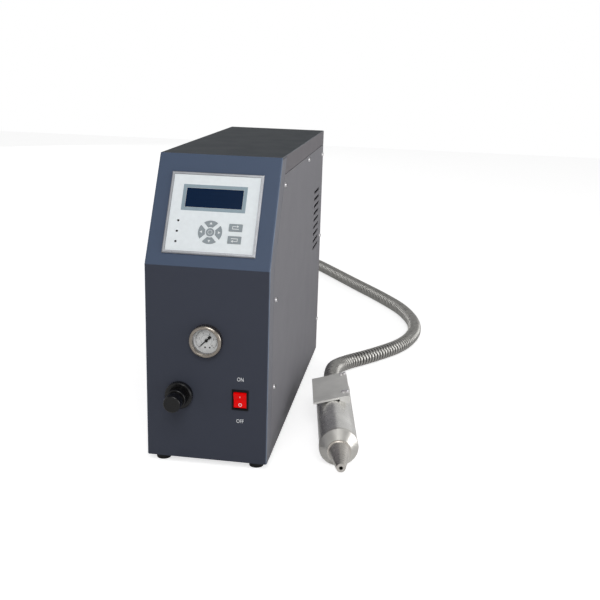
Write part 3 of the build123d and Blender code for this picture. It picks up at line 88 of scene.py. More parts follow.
class Graph:
    """A material's node tree, with short calls for the nodes that the finishes use."""

    def __init__(self, name: str) -> None:
        """Starts a material with one Principled shader."""
        self.material = bpy.data.materials.new(name)
        self.material.use_nodes = True
        self.tree = self.material.node_tree
        self.shader = self.tree.nodes["Principled BSDF"]

    def node(self, kind: str, **values: object) -> bpy.types.Node:
        """Adds a node and sets its properties.

        Args:
            kind: The node's type.
            values: Its properties by name.

        Returns:
            The node.
        """
        made = self.tree.nodes.new(kind)
        for key, value in values.items():
            setattr(made, key, value)
        return made

    def join(self, source: bpy.types.NodeSocket, target: bpy.types.NodeSocket) -> None:
        """Links an output to an input."""
        self.tree.links.new(source, target)

    def place(self, scale: tuple[float, float, float], turn: float = 0.0) -> bpy.types.NodeSocket:
        """The object's coordinates, turned about Z and then scaled.

        Args:
            scale: The scale along each axis.
            turn: The turn about Z in degrees.

        Returns:
            The vector socket.
        """
        source = self.node("ShaderNodeTexCoord").outputs["Object"]
        if turn:
            spun = self.node("ShaderNodeMapping")
            spun.inputs["Rotation"].default_value = (0, 0, math.radians(turn))
            self.join(source, spun.inputs["Vector"])
            source = spun.outputs["Vector"]
        sized = self.node("ShaderNodeMapping")
        sized.inputs["Scale"].default_value = scale
        self.join(source, sized.inputs["Vector"])
        return sized.outputs["Vector"]

    def noise(self, vector: bpy.types.NodeSocket, scale: float, detail: float = 2.0) -> bpy.types.NodeSocket:
        """A noise pattern on a vector, from 0 to 1."""
        made = self.node("ShaderNodeTexNoise")
        made.inputs["Scale"].default_value = scale
        made.inputs["Detail"].default_value = detail
        self.join(vector, made.inputs["Vector"])
        return made.outputs["Fac"]

    def spread(self, value: bpy.types.NodeSocket, low: float, high: float) -> bpy.types.NodeSocket:
        """Spreads the middle of a pattern over a range.

        Args:
            value: The pattern, from 0 to 1.
            low: What its darker parts become.
            high: What its lighter parts become.

        Returns:
            The value socket.
        """
        made = self.node("ShaderNodeMapRange")
        made.inputs["From Min"].default_value = 0.3
        made.inputs["From Max"].default_value = 0.7
        made.inputs["To Min"].default_value = low
        made.inputs["To Max"].default_value = high
        self.join(value, made.inputs["Value"])
        return made.outputs["Result"]

    def blend(self, share: bpy.types.NodeSocket, first: Colour, second: Colour) -> bpy.types.NodeSocket:
        """A colour between two, by a share."""
        made = self.node("ShaderNodeMix", data_type="RGBA")
        made.inputs[6].default_value = (*first, 1)
        made.inputs[7].default_value = (*second, 1)
        self.join(share, made.inputs[0])
        return made.outputs[2]

    def colour(self, share: bpy.types.NodeSocket, tone: Colour, swing: float) -> None:
        """Gives the shader a colour that a pattern makes a little darker or lighter."""
        darker = tuple(part * (1 - swing) for part in tone)
        lighter = tuple(min(1.0, part * (1 + swing)) for part in tone)
        self.join(self.blend(share, darker, lighter), self.shader.inputs["Base Color"])

    def relief(self, height: bpy.types.NodeSocket, depth: float, strength: float = 1.0) -> None:
        """Gives the shader a bump of a depth in metres."""
        made = self.node("ShaderNodeBump")
        made.inputs["Strength"].default_value = strength
        made.inputs["Distance"].default_value = depth
        self.join(height, made.inputs["Height"])
        self.join(made.outputs["Normal"], self.shader.inputs["Normal"])

    def put(self, **values: object) -> None:
        """Sets the shader's own sockets, with an underscore for each space."""
        for key, value in values.items():
            self.shader.inputs[key.replace("_", " ")].default_value = value


@dataclass(frozen=True)
class Finish:
    """A finish by name. Its make method gives the material, made once."""

    name: str

    def make(self) -> bpy.types.Material:
        """The finish's material."""
        label = f"{self.name}_finish"
        found = bpy.data.materials.get(label)
        if found:
            return found
        graph = Graph(label)
        self.fill(graph)
        return graph.material

    def fill(self, graph: Graph) -> None:
        """Makes the nodes of the finish."""
        raise NotImplementedError


@dataclass(frozen=True)
class PowderCoat(Finish):
    """Baked powder paint: a fine orange peel and faint smudges.

    A bent panel can carry painted light: a lighter tone on its upper slope where more light falls, a painted sheen on
    its side flanges, and a painted highlight along its long edges.
    """

    tone: Colour = (0.05, 0.05, 0.06)
    gloss: float = 0.5
    peel: float = 0.00005
    # Painted light: the slope tone is lighter because more light falls on the upper lean.
    lit_slope_tone: Colour | None = None
    # Painted light: the flank tone is a painted sheen, the side light that the flanges catch.
    flank_sheen_tone: Colour | None = None
    # Painted light: the edge tone is a painted highlight along the long bent edges.
    edge_highlight_tone: Colour | None = None
    slope_z: float = 0.2845
    slope_run: float = 0.001
    flank_x: float = 0.0846
    turn_run: tuple[float, float] = (0.0001, 0.0003)
    # The band and the mottle of the painted edge highlight.
    highlight_band: tuple[float, float] = (0.0012, 0.0002)
    highlight_swing: float = 0.25

    def fill(self, graph: Graph) -> None:
        """Makes a slow change of tone, smudges in the gloss and a fine peel, and paints light where given: a lighter
        slope, a highlight along the edges and a sheen on the flanks.
        """
        slow = graph.noise(graph.place((1, 1, 1)), 7.0, 3.0)
        smudge = graph.noise(graph.place((1, 1, 1)), 24.0, 4.0)
        fine = graph.noise(graph.place((1, 1, 1)), 1100.0, 1.0)
        body = self.mottled(graph, slow, self.tone)
        # Painted light: the upper slope gets a lighter tone, for the light that falls more fully on it.
        if self.lit_slope_tone:
            band = (self.slope_z, self.slope_z + self.slope_run)
            body = self.zone(graph, "Z", band, body, self.mottled(graph, slow, self.lit_slope_tone))
        # Painted light: a lighter band just inside the flank line, a painted highlight where the bend catches light.
        if self.edge_highlight_tone:
            band = (self.flank_x - self.highlight_band[0], self.flank_x - self.highlight_band[1])
            body = self.zone(graph, "X", band, body, self.mottled(graph, smudge, self.edge_highlight_tone, self.highlight_swing))
        # Painted light: the side flanges get a lighter tone, a painted sheen from the side light.
        if self.flank_sheen_tone:
            band = (self.flank_x - self.turn_run[0], self.flank_x + self.turn_run[1])
            body = self.zone(graph, "X", band, body, self.mottled(graph, slow, self.flank_sheen_tone))
        graph.join(body, graph.shader.inputs["Base Color"])
        graph.join(graph.spread(smudge, self.gloss - 0.02, self.gloss + 0.03), graph.shader.inputs["Roughness"])
        graph.put(Specular_IOR_Level=0.22)
        graph.relief(fine, self.peel, 0.4)

    def mottled(
        self, graph: Graph, pattern: bpy.types.NodeSocket, tone: Colour, swing: float = 0.015
    ) -> bpy.types.NodeSocket:
        """A tone that a pattern makes a little darker or lighter."""
        darker, lighter = (tuple(part * (1 + sign * swing) for part in tone) for sign in (-1, 1))
        return graph.blend(graph.spread(pattern, 0, 1), darker, lighter)

    def zone(
        self,
        graph: Graph,
        axis: str,
        band: tuple[float, float],
        inner: bpy.types.NodeSocket,
        outer: bpy.types.NodeSocket,
    ) -> bpy.types.NodeSocket:
        """Changes from one tone to another across a band of an axis.

        Args:
            graph: The material's graph.
            axis: "X" for the distance from the middle plane, or "Z" for the height.
            band: Where the change starts and ends, in metres.
            inner: The tone before the band.
            outer: The tone after it.

        Returns:
            The mixed tone.
        """
        split = graph.node("ShaderNodeSeparateXYZ")
        graph.join(graph.node("ShaderNodeTexCoord").outputs["Object"], split.inputs[0])
        reach = graph.node("ShaderNodeMath", operation="ABSOLUTE")
        graph.join(split.outputs[axis], reach.inputs[0])
        over = graph.node("ShaderNodeMapRange")
        over.inputs["From Min"].default_value = band[0]
        over.inputs["From Max"].default_value = band[1]
        graph.join(reach.outputs[0], over.inputs["Value"])
        mixed = graph.node("ShaderNodeMix", data_type="RGBA")
        graph.join(over.outputs["Result"], mixed.inputs[0])
        graph.join(inner, mixed.inputs[6])
        graph.join(outer, mixed.inputs[7])
        return mixed.outputs[2]


@dataclass(frozen=True)
class BrushedMetal(Finish):
    """Bare metal with brush or turning marks that run one way."""

    tone: Colour = (0.6, 0.6, 0.61)
    lay: Lay = Lay.CAST
    gloss: float = 0.3
    turn: float = 0.0
    depth: float = 0.00002
    metal: float = 1.0

    def fill(self, graph: Graph) -> None:
        """Makes the marks, a slow stain and the bump."""
        marks = graph.noise(graph.place(self.lay.value, self.turn), 1.0, 3.0)
        stain = graph.noise(graph.place((1, 1, 1)), 28.0, 3.0)
        graph.put(Metallic=self.metal)
        graph.colour(graph.spread(stain, 0, 1), self.tone, 0.10)
        graph.join(graph.spread(marks, self.gloss - 0.07, self.gloss + 0.10), graph.shader.inputs["Roughness"])
        graph.relief(marks, self.depth, 0.6)


@dataclass(frozen=True)
class Moulded(Finish):
    """Moulded plastic or rubber with a fine grain."""

    tone: Colour = (0.02, 0.02, 0.02)
    gloss: float = 0.35
    grain: float = 900.0
    depth: float = 0.00002
    swing: float = 0.06
    coat: float = 0.0
    shine: float = 0.35

    def fill(self, graph: Graph) -> None:
        """Makes a slow change of tone and a fine grain."""
        fine = graph.noise(graph.place((1, 1, 1)), self.grain, 2.0)
        slow = graph.noise(graph.place((1, 1, 1)), 45.0, 2.0)
        graph.colour(graph.spread(slow, 0, 1), self.tone, self.swing)
        graph.join(graph.spread(fine, self.gloss - 0.04, self.gloss + 0.06), graph.shader.inputs["Roughness"])
        graph.put(Coat_Weight=self.coat, Coat_Roughness=0.08, Specular_IOR_Level=self.shine)
        graph.relief(fine, self.depth, 0.4)


@dataclass(frozen=True)
class Printed(Finish):
    """Ink or film, with a slight unevenness."""

    tone: Colour = (0.8, 0.8, 0.8)
    gloss: float = 0.5

    def fill(self, graph: Graph) -> None:
        """Makes a faint mottle in colour and gloss."""
        slow = graph.noise(graph.place((1, 1, 1)), 160.0, 3.0)
        graph.colour(graph.spread(slow, 0, 1), self.tone, 0.025)
        graph.join(graph.spread(slow, self.gloss - 0.03, self.gloss + 0.03), graph.shader.inputs["Roughness"])
        graph.put(Specular_IOR_Level=0.25)


@dataclass(frozen=True)
class ClearGlass(Finish):
    """A thin clear pane that shows what is behind it."""

    def fill(self, graph: Graph) -> None:
        """Makes a see-through shader with faint smears in its gloss."""
        smear = graph.noise(graph.place((1, 1, 1)), 60.0, 3.0)
        graph.put(Base_Color=(0.06, 0.06, 0.06, 1), Alpha=0.06, IOR=1.5)
        graph.join(graph.spread(smear, 0.02, 0.07), graph.shader.inputs["Roughness"])


@dataclass(frozen=True)
class DisplayPane(Finish):
    """The display's dark blue pane, with the faint cells of an unlit character display."""

    tone: Colour = (0.002, 0.014, 0.045)

    def fill(self, graph: Graph) -> None:
        """Makes cells a little lighter than the gaps between them."""
        cells = graph.node("ShaderNodeTexBrick", offset=0.0)
        cells.inputs["Scale"].default_value = 1.0
        cells.inputs["Brick Width"].default_value = 0.0033
        cells.inputs["Row Height"].default_value = 0.0054
        cells.inputs["Mortar Size"].default_value = 0.0003
        cells.inputs["Color1"].default_value = (*(c * 1.12 for c in self.tone), 1)
        cells.inputs["Color2"].default_value = (*(c * 1.12 for c in self.tone), 1)
        cells.inputs["Mortar"].default_value = (*self.tone, 1)
        turned = graph.node("ShaderNodeMapping")
        turned.inputs["Rotation"].default_value = (math.radians(-60.5), 0, 0)
        graph.join(graph.node("ShaderNodeTexCoord").outputs["Object"], turned.inputs["Vector"])
        graph.join(turned.outputs["Vector"], cells.inputs["Vector"])
        graph.join(cells.outputs["Color"], graph.shader.inputs["Base Color"])
        graph.put(Roughness=0.25, Specular_IOR_Level=0.10)


@dataclass(frozen=True)
class WoundMetal(Finish):
    """The hose's wound strip: bright crests, and painted shade in the grooves between them."""

    tone: Colour = (0.55, 0.54, 0.515)
    # Painted shade: the groove colour stands in for the shade that falls in the grooves.
    groove: Colour = (0.022, 0.021, 0.018)

    def fill(self, graph: Graph) -> None:
        """Paints the grooves dark as shade, by the height that the mesh carries as an attribute."""
        height = graph.node("ShaderNodeAttribute", attribute_name="crest").outputs["Fac"]
        stain = graph.noise(graph.place((1, 1, 1)), 120.0, 3.0)
        mixed = graph.node("ShaderNodeMix", data_type="RGBA")
        mixed.inputs[6].default_value = (*self.groove, 1)
        graph.join(height, mixed.inputs[0])
        worn = graph.blend(graph.spread(stain, 0, 1), tuple(c * 0.82 for c in self.tone), self.tone)
        graph.join(worn, mixed.inputs[7])
        graph.join(mixed.outputs[2], graph.shader.inputs["Base Color"])
        graph.put(Metallic=1.0)
        graph.join(graph.spread(stain, 0.24, 0.38), graph.shader.inputs["Roughness"])


@dataclass(frozen=True)
class Laminated(Finish):
    """Stacked steel sheets seen on their edges."""

    def fill(self, graph: Graph) -> None:
        """Makes fine sheets along Y."""
        sheets = graph.noise(graph.place((1, 2000, 1)), 1.0, 1.0)
        graph.put(Metallic=0.8, Roughness=0.5)
        graph.colour(graph.spread(sheets, 0, 1), (0.09, 0.09, 0.10), 0.5)
        graph.relief(sheets, 0.0001, 0.6)


SLATE = srgb(60, 64, 76)
# Painted light: the lighter tone of the front panel's upper lean.
LIT_SLOPE = srgb(75, 89, 112)
# Painted light: the sheen of the side flanges.
FLANK_SHEEN = srgb(120, 120, 127)
# Painted light: the highlight along the long bent edges.
EDGE_HIGHLIGHT = srgb(118, 130, 148)
FINISHES: dict[Finish, tuple[str, ...]] = {
    PowderCoat("slate_powder_coat", SLATE, 0.50, 0.00005, LIT_SLOPE, FLANK_SHEEN, EDGE_HIGHLIGHT): ("front_panel",),
    # Painted light on the top cover: a painted sheen on its side flanges and a painted highlight along its long edges.
    PowderCoat("dark_powder_coat", srgb(30, 40, 48), 0.58, 0.00005, None, srgb(112, 109, 113), srgb(118, 122, 128)): (
        "top_cover",
    ),
    PowderCoat("frame_dip_coat", srgb(30, 30, 32), 0.50): ("chassis_frame",),
    PowderCoat("grey_powder_coat", srgb(125, 124, 129), 0.55): (
        "left_side_panel",
        "right_side_panel",
        "rear_panel",
    ),
    BrushedMetal("zinc_plate", srgb(190, 192, 196), Lay.CAST, 0.35): ("base_pan",),
    Moulded("foot_rubber", srgb(30, 30, 31), 0.75, 700.0, 0.00008): ("feet",),
    BrushedMetal("screw_steel", srgb(240, 238, 240), Lay.CAST, 0.32): (
        "foot_screws",
        "panel_screws",
        "torch_plate_screws",
        "regulator_spindle",
        "solenoid_plunger",
    ),
    BrushedMetal("bezel_satin", srgb(168, 170, 174), Lay.CAST, 0.46, 0.0, 0.000004): ("display_bezel",),
    Printed("overlay_film", srgb(240, 246, 249), 0.42): ("membrane_overlay",),
    DisplayPane("display_pane"): ("display_window",),
    Moulded("display_frame", srgb(60, 70, 80)): ("display_module",),
    Moulded("board_green", srgb(20, 90, 50), 0.3, 300.0): ("control_board", "power_board"),
    Moulded("lamp_dark", srgb(26, 24, 24), 0.15, 500.0, 0.0, 0.05, 0.5): ("status_lamps",),
    Printed("key_grey", srgb(150, 159, 164), 0.40): (
        "key_up",
        "key_down",
        "key_left",
        "key_right",
        "key_enter",
        "key_menu",
        "key_back",
    ),
    BrushedMetal("gauge_steel", srgb(190, 190, 192), Lay.CAST, 0.30): ("gauge_case",),
    BrushedMetal("gauge_polish", srgb(162, 154, 145), Lay.CAST, 0.20, 0.0, 0.000001): ("gauge_bezel",),
    Printed("dial_white", srgb(246, 247, 247), 0.5): ("gauge_dial",),
    Moulded("needle_black", srgb(18, 18, 18), 0.4): ("gauge_needle",),
    ClearGlass("gauge_glass"): ("gauge_lens",),
    BrushedMetal("die_cast", srgb(180, 180, 182), Lay.CAST, 0.45, 0.0, 0.00006): ("regulator_body",),
    Moulded("nut_black", srgb(10, 10, 12), 0.24, 900.0, 0.00001, 0.06, 0.0, 0.45): (
        "regulator_panel_nut",
        "regulator_bonnet",
    ),
    Moulded("knob_black", srgb(5, 5, 6), 0.20, 900.0, 0.00001, 0.06, 0.0, 0.45): ("regulator_knob",),
    Moulded("switch_black", srgb(14, 14, 15), 0.35, shine=0.2): (
        "switch_housing",
        "power_inlet",
        "fan_frame",
        "fan_rotor",
    ),
    Moulded("rocker_red", srgb(250, 2, 2), 0.30, 900.0, 0.0, 0.04, 0.0, 0.15): ("switch_rocker",),
    Laminated("core_sheets"): ("transformer_core",),
    Moulded("winding_tape", srgb(214, 186, 84), 0.45): ("transformer_winding",),
    BrushedMetal("board_parts", srgb(120, 124, 130), Lay.ALONG_Y, 0.4): ("power_components",),
    BrushedMetal("valve_brass", srgb(204, 172, 96), Lay.CAST, 0.3): ("solenoid_body",),
    Moulded("coil_black", srgb(28, 28, 28), 0.5): ("solenoid_coil",),
    Moulded("tube_blue", srgb(40, 90, 170), 0.25): ("air_tube_supply", "air_tube_outlet", "air_tube_gauge"),
    BrushedMetal("guard_plate", srgb(210, 210, 212), Lay.CAST, 0.15): ("fan_guard",),
    BrushedMetal("fitting_nickel", srgb(200, 198, 190), Lay.CAST, 0.25): ("air_inlet_fitting", "hose_gland"),
    BrushedMetal("torch_turned", srgb(232, 231, 228), Lay.ROUND, 0.30, -9.0, 0.000002): ("torch_barrel",),
    BrushedMetal("torch_caps", srgb(214, 212, 207), Lay.ROUND, 0.36, -9.0, 0.000004): (
        "torch_front_cap",
        "torch_rear_cap",
    ),
    BrushedMetal("nozzle_turned", srgb(216, 212, 206), Lay.ROUND, 0.30, -9.0, 0.000004): ("torch_nozzle",),
    BrushedMetal("torch_plate_brushed", srgb(230, 229, 225), Lay.ALONG_Y, 0.46, -9.0, 0.000008, 0.30): ("torch_plate",),
    BrushedMetal("electrode_metal", srgb(150, 150, 154), Lay.CAST, 0.3): ("torch_electrode",),
    Moulded("ceramic", srgb(238, 234, 224), 0.3): ("torch_insulator",),
}
WHITE_INK = Printed("white_ink", srgb(236, 238, 240), 0.5)
BLACK_INK = Printed("black_ink", srgb(24, 24, 26), 0.5)
GREY_INK = Printed("grey_ink", srgb(120, 122, 124), 0.5)
SURROUND = Printed("surround_grey", srgb(150, 168, 178), 0.42)
INK_T = 0.06
DIAL_INK_T = 0.05
LETTER_WIDTH = 0.86
LETTER_HEIGHT = 1.12


def dress(item: bpy.types.Object, finish: Finish) -> None:
    """Gives an object one finish."""
    item.data.materials.clear()
    item.data.materials.append(finish.make())


def shell(name: str, mesh: bmesh.types.BMesh, finish: Finish, body: str) -> bpy.types.Object:
    """Makes an object of a bmesh, dressed and riding on a body.

    Args:
        name: The piece's name.
        mesh: Its bmesh, which is freed.
        finish: Its finish.
        body: The CAD body that it moves with.

    Returns:
        The object.
    """
    data = bpy.data.meshes.new(name)
    mesh.to_mesh(data)
    mesh.free()
    item = bpy.data.objects.new(name, data)
    bpy.context.scene.collection.objects.link(item)
    dress(item, finish)
    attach(item, body)
    log.info("%s: %d faces", name, len(data.polygons))
    return item


@dataclass
class Face:
    """A flat face of the object, on which marks are printed."""

    origin: Vector
    across: Vector
    normal: Vector

    def matrix(self, at: tuple[float, float], lift: float, turn: float = 0.0) -> Matrix:
        """The place of a mark on the face.

        Args:
            at: The mark's middle, in millimetres across and up.
            lift: Its height over the face, in millimetres.
            turn: Its turn in degrees, counterclockwise.

        Returns:
            The matrix from the mark's own frame to the row frame, both in metres.
        """
        up = self.normal.cross(self.across)
        axes = Matrix((self.across, up, self.normal)).transposed().to_4x4()
        shift = Matrix.Translation((at[0] * MM, at[1] * MM, lift * MM))
        return Matrix.Translation(self.origin) @ axes @ shift @ Matrix.Rotation(math.radians(turn), 4, "Z")


def bar(mesh: bmesh.types.BMesh, size: tuple[float, float, float], place: Matrix) -> None:
    """Adds a bar of a size in millimetres, standing on its place."""
    made = bmesh.ops.create_cube(mesh, size=1.0)["verts"]
    bmesh.ops.scale(mesh, vec=Vector(size) * MM, verts=made)
    bmesh.ops.translate(mesh, vec=(0, 0, size[2] * MM / 2), verts=made)
    bmesh.ops.transform(mesh, matrix=place, verts=made)


def dot(mesh: bmesh.types.BMesh, radius: float, thick: float, sides: int, place: Matrix) -> None:
    """Adds a round or many-sided disc of a radius in millimetres, standing on its place."""
    made = bmesh.ops.create_cone(
        mesh,
        cap_ends=True,
        segments=sides,
        radius1=radius * MM,
        radius2=radius * MM,
        depth=thick * MM,
        matrix=place @ Matrix.Translation((0, 0, thick * MM / 2)),
    )["verts"]
    log.debug("disc of %d points", len(made))


def lettering(mesh: bmesh.types.BMesh, words: str, height: float, place: Matrix) -> None:
    """Adds words as thin raised ink.

    Args:
        mesh: The bmesh that takes them.
        words: The words.
        height: The letter size in millimetres.
        place: The place of their middle.
    """
    curve = bpy.data.curves.new("words", "FONT")
    curve.body = words
    curve.size = height * MM
    curve.align_x = "CENTER"
    curve.align_y = "CENTER"
    curve.extrude = 0.00004
    carrier = bpy.data.objects.new("words", curve)
    bpy.context.scene.collection.objects.link(carrier)
    bpy.context.view_layer.update()
    flat = bpy.data.meshes.new_from_object(carrier.evaluated_get(bpy.context.evaluated_depsgraph_get()))
    flat.transform(place @ Matrix.Diagonal((LETTER_WIDTH, LETTER_HEIGHT, 1, 1)))
    mesh.from_mesh(flat)
    bpy.data.objects.remove(carrier)
    bpy.data.meshes.remove(flat)


@dataclass
class Camera:
    """The photograph's camera, from the cabinet's own edges."""

    place: Vector = field(default_factory=lambda: Vector((282.5, -1348.9, 565.7)) * MM)
    right: Vector = field(default_factory=lambda: Vector((0.98810, 0.15100, 0.02930)))
    up: Vector = field(default_factory=lambda: Vector((-0.06931, 0.26705, 0.96119)))
    back: Vector = field(default_factory=lambda: Vector((0.13731, -0.95178, 0.27434)))
    lens: float = 53.12

    def build(self) -> None:
        """Makes the camera and gives it to the scene."""
        data = bpy.data.cameras.new("camera")
        data.lens = self.lens
        data.sensor_width = 36.0
        data.clip_start = 0.05
        item = bpy.data.objects.new("camera", data)
        turn = Matrix((self.right, self.up, self.back)).transposed().to_4x4()
        item.matrix_world = Matrix.Translation(self.place) @ turn
        bpy.context.scene.collection.objects.link(item)
        bpy.context.scene.camera = item


@dataclass
class Studio:
    """A white floor, a white surround and soft lamps."""

    floor_half: float = 4.0
    floor_seen: float = 0.66
    floor_mirrored: float = 0.06
    soft: tuple[float, float] = (0.60, 0.26)
    glint: tuple[float, float] = (0.80, 0.34)
    fall_top: float = 0.75
    aim: tuple[float, float, float] = (0.05, 0.0, 0.2)
    lamps: tuple[tuple[str, tuple[float, float, float], float, float], ...] = (
        ("key_lamp", (0.4, -2.1, 2.0), 1.3, 26.0),
        ("side_lamp", (2.6, -0.4, 0.7), 1.6, 22.0),
        ("back_lamp", (-2.2, 2.9, 0.8), 1.3, 12.0),
    )

    def build(self) -> None:
        """Makes the floor, the world and the lamps."""
        bpy.context.scene.view_settings.view_transform = "Standard"
        self.floor()
        self.world()
        for name, place, size, power in self.lamps:
            self.lamp(name, place, size, power)

    def floor(self) -> None:
        """Makes the floor, white where the camera or a shiny surface sees it."""
        mesh = bmesh.new()
        bmesh.ops.create_grid(mesh, x_segments=2, y_segments=2, size=self.floor_half)
        data = bpy.data.meshes.new("floor")
        mesh.to_mesh(data)
        mesh.free()
        item = bpy.data.objects.new("floor", data)
        bpy.context.scene.collection.objects.link(item)
        graph = Graph("floor_white")
        graph.put(Base_Color=(0.82, 0.82, 0.82, 1), Roughness=0.9, Specular_IOR_Level=0.1)
        graph.put(Emission_Color=(1, 1, 1, 1))
        path = graph.node("ShaderNodeLightPath")
        mirrored = graph.node("ShaderNodeMath", operation="MULTIPLY")
        mirrored.inputs[1].default_value = self.floor_mirrored
        graph.join(path.outputs["Is Glossy Ray"], mirrored.inputs[0])
        level = graph.node("ShaderNodeMath", operation="MULTIPLY_ADD")
        level.inputs[1].default_value = self.floor_seen
        graph.join(path.outputs["Is Camera Ray"], level.inputs[0])
        graph.join(mirrored.outputs[0], level.inputs[2])
        graph.join(level.outputs[0], graph.shader.inputs["Emission Strength"])
        item.data.materials.append(graph.material)

    def world(self) -> None:
        """Makes the surround: plain white to the camera, and a soft light that falls off upwards."""
        world = bpy.data.worlds.new("surround")
        world.use_nodes = True
        bpy.context.scene.world = world
        tree = world.node_tree
        background = tree.nodes["Background"]
        background.inputs["Color"].default_value = (1, 1, 1, 1)
        path = tree.nodes.new("ShaderNodeLightPath")
        split = tree.nodes.new("ShaderNodeSeparateXYZ")
        tree.links.new(tree.nodes.new("ShaderNodeTexCoord").outputs["Generated"], split.inputs[0])
        soft = self.fall(tree, split.outputs["Z"], self.soft)
        glint = self.fall(tree, split.outputs["Z"], self.glint)
        shiny = self.math(tree, "MULTIPLY", path.outputs["Is Glossy Ray"], glint)
        plain = self.math(tree, "SUBTRACT", 1.0, path.outputs["Is Glossy Ray"])
        both = self.math(tree, "MULTIPLY_ADD", plain, soft, shiny)
        straight = self.math(tree, "MAXIMUM", path.outputs["Is Camera Ray"], path.outputs["Is Transmission Ray"])
        level = self.math(tree, "MAXIMUM", straight, both)
        tree.links.new(level, background.inputs["Strength"])

    def fall(
        self, tree: bpy.types.NodeTree, height: bpy.types.NodeSocket, levels: tuple[float, float]
    ) -> bpy.types.NodeSocket:
        """A level that falls from the horizon's value to the zenith's."""
        made = tree.nodes.new("ShaderNodeMapRange")
        made.inputs["From Max"].default_value = self.fall_top
        made.inputs["To Min"].default_value = levels[0]
        made.inputs["To Max"].default_value = levels[1]
        tree.links.new(height, made.inputs["Value"])
        return made.outputs["Result"]

    def math(self, tree: bpy.types.NodeTree, operation: str, *parts: object) -> bpy.types.NodeSocket:
        """Adds a math node whose inputs are sockets or numbers, and gives its output."""
        made = tree.nodes.new("ShaderNodeMath")
        made.operation = operation
        for target, part in zip(made.inputs, parts):
            if isinstance(part, float):
                target.default_value = part
            else:
                tree.links.new(part, target)
        return made.outputs[0]

    def lamp(self, name: str, place: tuple[float, float, float], size: float, power: float) -> None:
        """Makes a square lamp that points at the middle of the object.

        Args:
            name: Its name.
            place: Its place in metres.
            size: Its side in metres.
            power: Its power in watts.
        """
        data = bpy.data.lights.new(name, "AREA")
        data.size = size
        data.energy = power
        item = bpy.data.objects.new(name, data)
        item.location = place
        item.rotation_euler = (Vector(self.aim) - Vector(place)).to_track_quat("-Z", "Y").to_euler()
        bpy.context.scene.collection.objects.link(item)


@dataclass
class Hose:
    """The stripwound metal hose, from the gland at the rear to the torch."""

    radius: float = 13.5
    groove: float = 2.2
    pitch: float = 7.4
    sides: int = 26
    length: float = 2.024
    route: tuple[tuple[float, float, float], ...] = (
        (-30, 285, 96),
        (-30, 350, 96),
        (-48, 432, 75),
        (-98, 514, 42),
        (-162, 598, 18),
        (-232, 676, 13.5),
        (-291, 765, 13.5),
        (-284, 872, 13.5),
        (-218, 954, 13.5),
        (-117, 982, 13.5),
        (-19, 948, 13.5),
        (48, 848, 13.5),
        (112, 749, 13.5),
        (190, 634, 13.5),
        (246, 535, 13.5),
        (275, 418, 13.5),
        (254, 308, 13.5),
        (198, 229, 13.5),
        (139, 161, 14.5),
        (132.74, 84.49, 28),
        (143.07, 19.31, 28),
    )

    def line(self) -> list[Vector]:
        """The points of the hose's smooth middle line, read from its spline."""
        curve = bpy.data.curves.new("hose_line", "CURVE")
        curve.dimensions = "3D"
        spline = curve.splines.new("NURBS")
        spline.points.add(len(self.route) - 1)
        for point, place in zip(spline.points, self.route):
            point.co = (*(part * MM for part in place), 1)
        spline.order_u = 3
        spline.use_endpoint_u = True
        spline.resolution_u = 40
        carrier = bpy.data.objects.new("hose_line", curve)
        bpy.context.scene.collection.objects.link(carrier)
        bpy.context.view_layer.update()
        flat = bpy.data.meshes.new_from_object(carrier.evaluated_get(bpy.context.evaluated_depsgraph_get()))
        points = [vertex.co.copy() for vertex in flat.vertices]
        bpy.data.objects.remove(carrier)
        bpy.data.meshes.remove(flat)
        return points

    def profile(self, whole: float) -> list[tuple[float, float]]:
        """The rings along the hose as distance and height, from 0 in a groove to 1 on a crest.

        Args:
            whole: The line's length in metres.

        Returns:
            The rings in order.
        """
        rib = ((0.0, 0.0), (0.30, 0.0), (0.40, 0.9), (0.52, 1.0), (0.80, 1.0), (0.92, 0.8))
        count = round(whole / (self.pitch * MM))
        step = whole / count
        rings = [((index + share) * step, height) for index in range(count) for share, height in rib]
        return rings + [(whole, 0.0)]

    def build(self) -> None:
        """Makes the ribbed tube by drawing one ring along the line."""
        points = self.line()
        runs = [0.0]
        for first, second in zip(points, points[1:]):
            runs.append(runs[-1] + (second - first).length)
        mesh = bmesh.new()
        crest = mesh.verts.layers.float.new("crest")
        ring = bmesh.ops.create_circle(mesh, cap_ends=False, segments=self.sides, radius=1.0)["verts"]
        edges = list({edge for vert in ring for edge in vert.link_edges})
        axis = (points[1] - points[0]).normalized()
        side = axis.orthogonal().normalized()
        last = None
        for distance, height in self.profile(runs[-1]):
            spot = min(max(bisect.bisect_right(runs, distance), 1), len(points) - 1)
            share = (distance - runs[spot - 1]) / (runs[spot] - runs[spot - 1])
            middle = points[spot - 1].lerp(points[spot], share)
            ahead = (points[min(spot + 1, len(points) - 1)] - points[max(spot - 2, 0)]).normalized()
            side = (side - ahead * side.dot(ahead)).normalized()
            size = (self.radius - self.groove * (1 - height)) * MM
            frame = Matrix((side, ahead.cross(side), ahead)).transposed().to_4x4()
            place = Matrix.Translation(middle) @ frame @ Matrix.Diagonal((size, size, 1, 1))
            if last is not None:
                made = bmesh.ops.extrude_edge_only(mesh, edges=edges)["geom"]
                ring = [part for part in made if isinstance(part, bmesh.types.BMVert)]
                edges = [part for part in made if isinstance(part, bmesh.types.BMEdge)]
                bmesh.ops.transform(mesh, matrix=place @ last.inverted(), verts=ring)
            else:
                bmesh.ops.transform(mesh, matrix=place, verts=ring)
            for vert in ring:
                vert[crest] = height
            last = place
        bmesh.ops.holes_fill(mesh, edges=[edge for edge in mesh.edges if edge.is_boundary], sides=0)
        bmesh.ops.recalc_face_normals(mesh, faces=mesh.faces[:])
        for face in mesh.faces:
            face.smooth = len(face.verts) == 4
        item = shell("ribbed_hose", mesh, WoundMetal("hose_strip"), "unit")
        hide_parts("hose")


